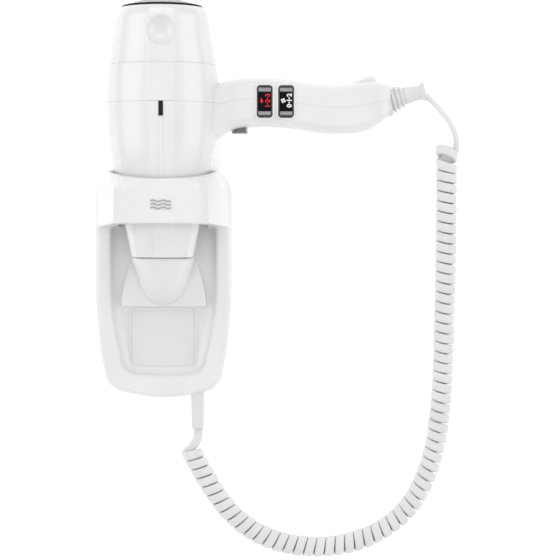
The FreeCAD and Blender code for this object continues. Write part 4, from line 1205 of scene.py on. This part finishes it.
def make_airflow_mark():
    """Generic mark on the hoop: three short wavy lines of print, two waves long."""
    strokes = []
    for row in range(3):
        upper, lower = [], []
        for u in np.linspace(-MARK_HALF, MARK_HALF, 40):
            z = MARK_TOP_Z - row * MARK_SPACING + 0.55 * math.sin(u * 2 * math.pi / MARK_HALF)
            upper.append((u, z + STROKE_HALF))
            lower.append((u, z - STROKE_HALF))
        outline = upper + lower[::-1]
        front = [(u, hoop_front_y(u) - 0.06, z) for u, z in outline]
        back = [(u, hoop_front_y(u) + 0.3, z) for u, z in outline]
        count, side = len(outline), len(upper)
        faces = []
        for k in range(side - 1):
            faces.append((k, k + 1, count - 2 - k, count - 1 - k))
            faces.append((count + k, 2 * count - 1 - k, 2 * count - 2 - k, count + k + 1))
        for k in range(count):
            faces.append((k, (k + 1) % count, count + (k + 1) % count, count + k))
        strokes.append(make_piece("stroke", front + back, faces, GREY_PRINT, 40))
    mark = join("airflow_mark", strokes, 40)
    place(mark, HOLDER, "holder_white")


def hoop_front_y(x):
    """Depth of the hoop's gently curved front face."""
    sagitta, half = 2.8, 31.0
    radius = (half ** 2 + sagitta ** 2) / (2 * sagitta)
    return -94.2 + radius - math.sqrt(radius ** 2 - x ** 2)


# ---- cord -----------------------------------------------------------------------------------------------------

CORD_WIDTH, CORD_THICK = 6.8, 3.9
UPPER_LEAD = [
    (197.6, -50.0, 145.2), (205.0, -50.0, 137.6), (213.2, -50.0, 128.6),
    (219.5, -50.0, 118.2), (221.4, -50.0, 104.6),
]
COIL = [
    (213.7, -50.0, 103.5), (214.6, -44.0, 36.0), (214.4, -36.0, -41.0), (213.5, -32.0, -88.5),
    (208.4, -28.0, -132.0), (193.5, -25.0, -169.4), (169.6, -23.0, -190.7), (142.6, -22.0, -201.7),
    (113.1, -20.0, -204.7), (81.4, -18.0, -198.8), (56.0, -17.0, -183.0), (36.9, -16.0, -159.0),
    (22.3, -15.5, -131.6),
]
TOP_LOOP = [               # the lead runs down the coil's right side, round its back and over its front
    (221.3, -49.8, 109.5), (220.6, -47.0, 102.6), (216.5, -43.6, 100.2), (211.0, -43.2, 100.8),
    (207.3, -47.0, 102.9), (206.9, -52.5, 104.8), (210.5, -56.4, 105.0), (215.5, -56.3, 103.0),
    (219.4, -53.2, 99.8),
]
TAIL = [                   # from the coil's end up to the holder's boot
    (15.9, -14.2, -131.8), (20.0, -14.6, -128.4), (23.8, -14.6, -123.8), (26.3, -14.2, -120.6),
    (26.7, -14.0, -112.5),
]
COIL_RADIUS = 7.75
TURNS = 64 - 0.02          # the last turn ends just short of the coil's outer side
TOP_TURNS = [              # (length along the coil, turns made) where its start is more open
    (0.0, 0.0), (1.6, 0.5), (9.0, 1.0), (12.2, 1.5), (17.6, 2.0), (20.6, 2.5),
]
TOP_RUN, TAIL_RUN = 3.0, 1.8    # the coil's axis runs on past its route by these lengths
AXIS_STEPS = 3200
TOP_STEPS = 60             # the top loop stands in for this many of the curls' first points
LINE_STEP = 0.9


def route(points):
    """Points of the smooth NURBS line that has these control points."""
    curve = bpy.data.curves.new("route", "CURVE")
    curve.dimensions = "3D"
    spline = curve.splines.new("NURBS")
    spline.points.add(len(points) - 1)
    for point, place_at in zip(spline.points, points):
        point.co = (*place_at, 1.0)
    spline.order_u = 3
    spline.use_endpoint_u = True
    spline.resolution_u = 24
    holder = bpy.data.objects.new("route", curve)
    mesh = bpy.data.meshes.new_from_object(holder)
    line = np.array([v.co for v in mesh.vertices])
    bpy.data.objects.remove(holder)
    bpy.data.meshes.remove(mesh)
    return line


def unit(vectors):
    return vectors / np.linalg.norm(vectors, axis=1, keepdims=True)


def frames_along(line, first_normal):
    """Unit tangents and normals carried along a line without twist."""
    tangents = unit(np.gradient(line, axis=0))
    normal = np.array(first_normal, float)
    normals = []
    for tangent in tangents:
        normal = normal - tangent * (normal @ tangent)
        normal = normal / np.linalg.norm(normal)
        normals.append(normal)
    return tangents, np.array(normals)


def lengths_of(line):
    """Distance along a line at each of its points."""
    return np.concatenate([[0], np.cumsum(np.linalg.norm(np.diff(line, axis=0), axis=1))])


def cord_line():
    """Centreline and outward normals of the cable: lead, curls about the coil's route, lead."""
    axis = route(COIL)
    start_run, end_run = unit(np.array([axis[0] - axis[1], axis[-1] - axis[-2]]))
    axis = np.concatenate([[axis[0] + TOP_RUN * start_run], axis, [axis[-1] + TAIL_RUN * end_run]])
    axis = resample(axis, AXIS_STEPS)
    tangents, normals = frames_along(axis, (1.0, 0.0, 0.0))
    sides = np.cross(normals, tangents)
    at = lengths_of(axis)
    lengths, turns = zip(*TOP_TURNS)
    even = turns[-1] + (TURNS - turns[-1]) * (at - lengths[-1]) / (at[-1] - lengths[-1])
    turn_number = np.where(at < lengths[-1], np.interp(at, lengths, turns), even)
    kernel = np.hanning(13) / np.hanning(13).sum()
    turn_number = np.concatenate([turn_number[:6], np.convolve(turn_number, kernel, "valid"), turn_number[-6:]])
    angle = turn_number * 2 * math.pi
    radius = COIL_RADIUS - CORD_THICK / 2 + 0.35
    radius = radius * (1 + 0.015 * np.sin(turn_number * 2.1) + 0.012 * np.sin(turn_number * 0.73 + 1.0))
    radial = normals * np.cos(angle)[:, None] + sides * np.sin(angle)[:, None]
    curls = axis + radial * radius[:, None]
    lead = route(UPPER_LEAD[:-1] + TOP_LOOP)
    tail = route([tuple(curls[-1]), *TAIL])
    lead_normals = unit(np.cross(np.array([0.0, -1.0, 0.0]), np.gradient(lead, axis=0)))
    about_coil = unit((lead - np.array(COIL[0])) * np.array([1.0, 1.0, 0.0]))
    share = ramp(-118.0, -109.0, -lead[:, 2])[:, None]
    lead_normals = lead_normals * (1 - share) + about_coil * share
    share = ramp(0.0, 0.3, np.linspace(0, 1, len(tail)))[:, None]
    tail_normals = radial[-1] * (1 - share) + np.array([0.0, 1.0, 0.0]) * share
    line = np.concatenate([lead, curls[TOP_STEPS:], tail[2:]])
    outward = np.concatenate([lead_normals, radial[TOP_STEPS:], tail_normals[2:]])
    line, outward = resample_with(line, outward, LINE_STEP)
    return smoothed(line, 3), smoothed(outward, 6)


def resample_with(line, extra, step):
    """A line, and values given along it, at even steps."""
    at = lengths_of(line)
    wanted = np.linspace(0, at[-1], int(at[-1] / step))
    return [np.stack([np.interp(wanted, at, v[:, k]) for k in range(3)], 1) for v in (line, extra)]


def smoothed(line, times):
    line = line.copy()
    for _ in range(times):
        line[1:-1] = 0.25 * line[:-2] + 0.5 * line[1:-1] + 0.25 * line[2:]
    return line


def make_cord():
    """One flattened cable from the grip's boot to the holder's."""
    line, outward = cord_line()
    tangents = unit(np.gradient(line, axis=0))
    outward = unit(outward - tangents * (outward * tangents).sum(1, keepdims=True))
    across = np.cross(tangents, outward)
    turn = np.linspace(0, 2 * math.pi, 20, endpoint=False) + math.pi / 20
    wide = np.sign(np.cos(turn)) * np.abs(np.cos(turn)) ** 0.5 * CORD_WIDTH / 2
    thick = np.sign(np.sin(turn)) * np.abs(np.sin(turn)) ** 0.72 * CORD_THICK / 2
    rings = (line[:, None, :] + across[:, None, :] * wide[None, :, None]
             + outward[:, None, :] * thick[None, :, None])
    cord = loft_solid("curly_cord", rings, CORD, 60)
    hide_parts("cord_upper_lead", "cord_coil", "cord_lower_lead")
    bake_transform(cord)


# ---- carried-over CAD nodes ----------------------------------------------------------------------------------

NODES_IN = (
    (BASE, "base_plate", "lever_bracket"),
    (NYLON, "terminal_block", "cable_clamp", "handle_cable_clamp"),
    (BRASS, "terminal_screws"),
    (STEEL, "clamp_screws", "cover_screws", "shell_screws", "motor_shaft", "motor_can", "thermal_fuse",
     "button_spring"),
    (BLACK, "safety_switch", "filter_frame", "thermostat", "outlet_grille", "cold_shot_switch"),
    (HOLDER_WHITE, "safety_lever"),
    (FILTER, "dust_filter"),
    (FAN, "fan_impeller", "motor_mount"),
    (MICA, "heat_shield", "heater_frame"),
    (WIRE, "heater_coil"),
    (BOARD, "circuit_board"),
)
EDGE_ROUNDING = {"safety_lever": 0.5, "terminal_block": 0.4, "outlet_grille": 0.2, "base_plate": 0.4}


def dress_nodes():
    """Gives the CAD nodes that stay in view their materials, and some of them softer edges."""
    for name, material in ((name, material) for material, *names in NODES_IN for name in names):
        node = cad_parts[name]
        for index in range(max(1, len(node.data.materials))):
            if index < len(node.data.materials):
                node.data.materials[index] = material
            else:
                node.data.materials.append(material)
        if name in EDGE_ROUNDING:
            rounding = node.modifiers.new("edges", "BEVEL")
            rounding.width = EDGE_ROUNDING[name] * MM
            rounding.segments = 3
            rounding.limit_method = "ANGLE"
            rounding.angle_limit = math.radians(40)


make_camera()
make_handle_boot()
make_holder_boot()
make_cord()
make_light()
make_stage()
make_shells()
make_slot_key()
make_lug()
make_surrounds()
make_cap()
make_inlet()
for switch_kind in SWITCHES:
    make_switch(switch_kind)
make_marks()
make_button()
make_holder()
make_blank_panel()
make_airflow_mark()
dress_nodes()
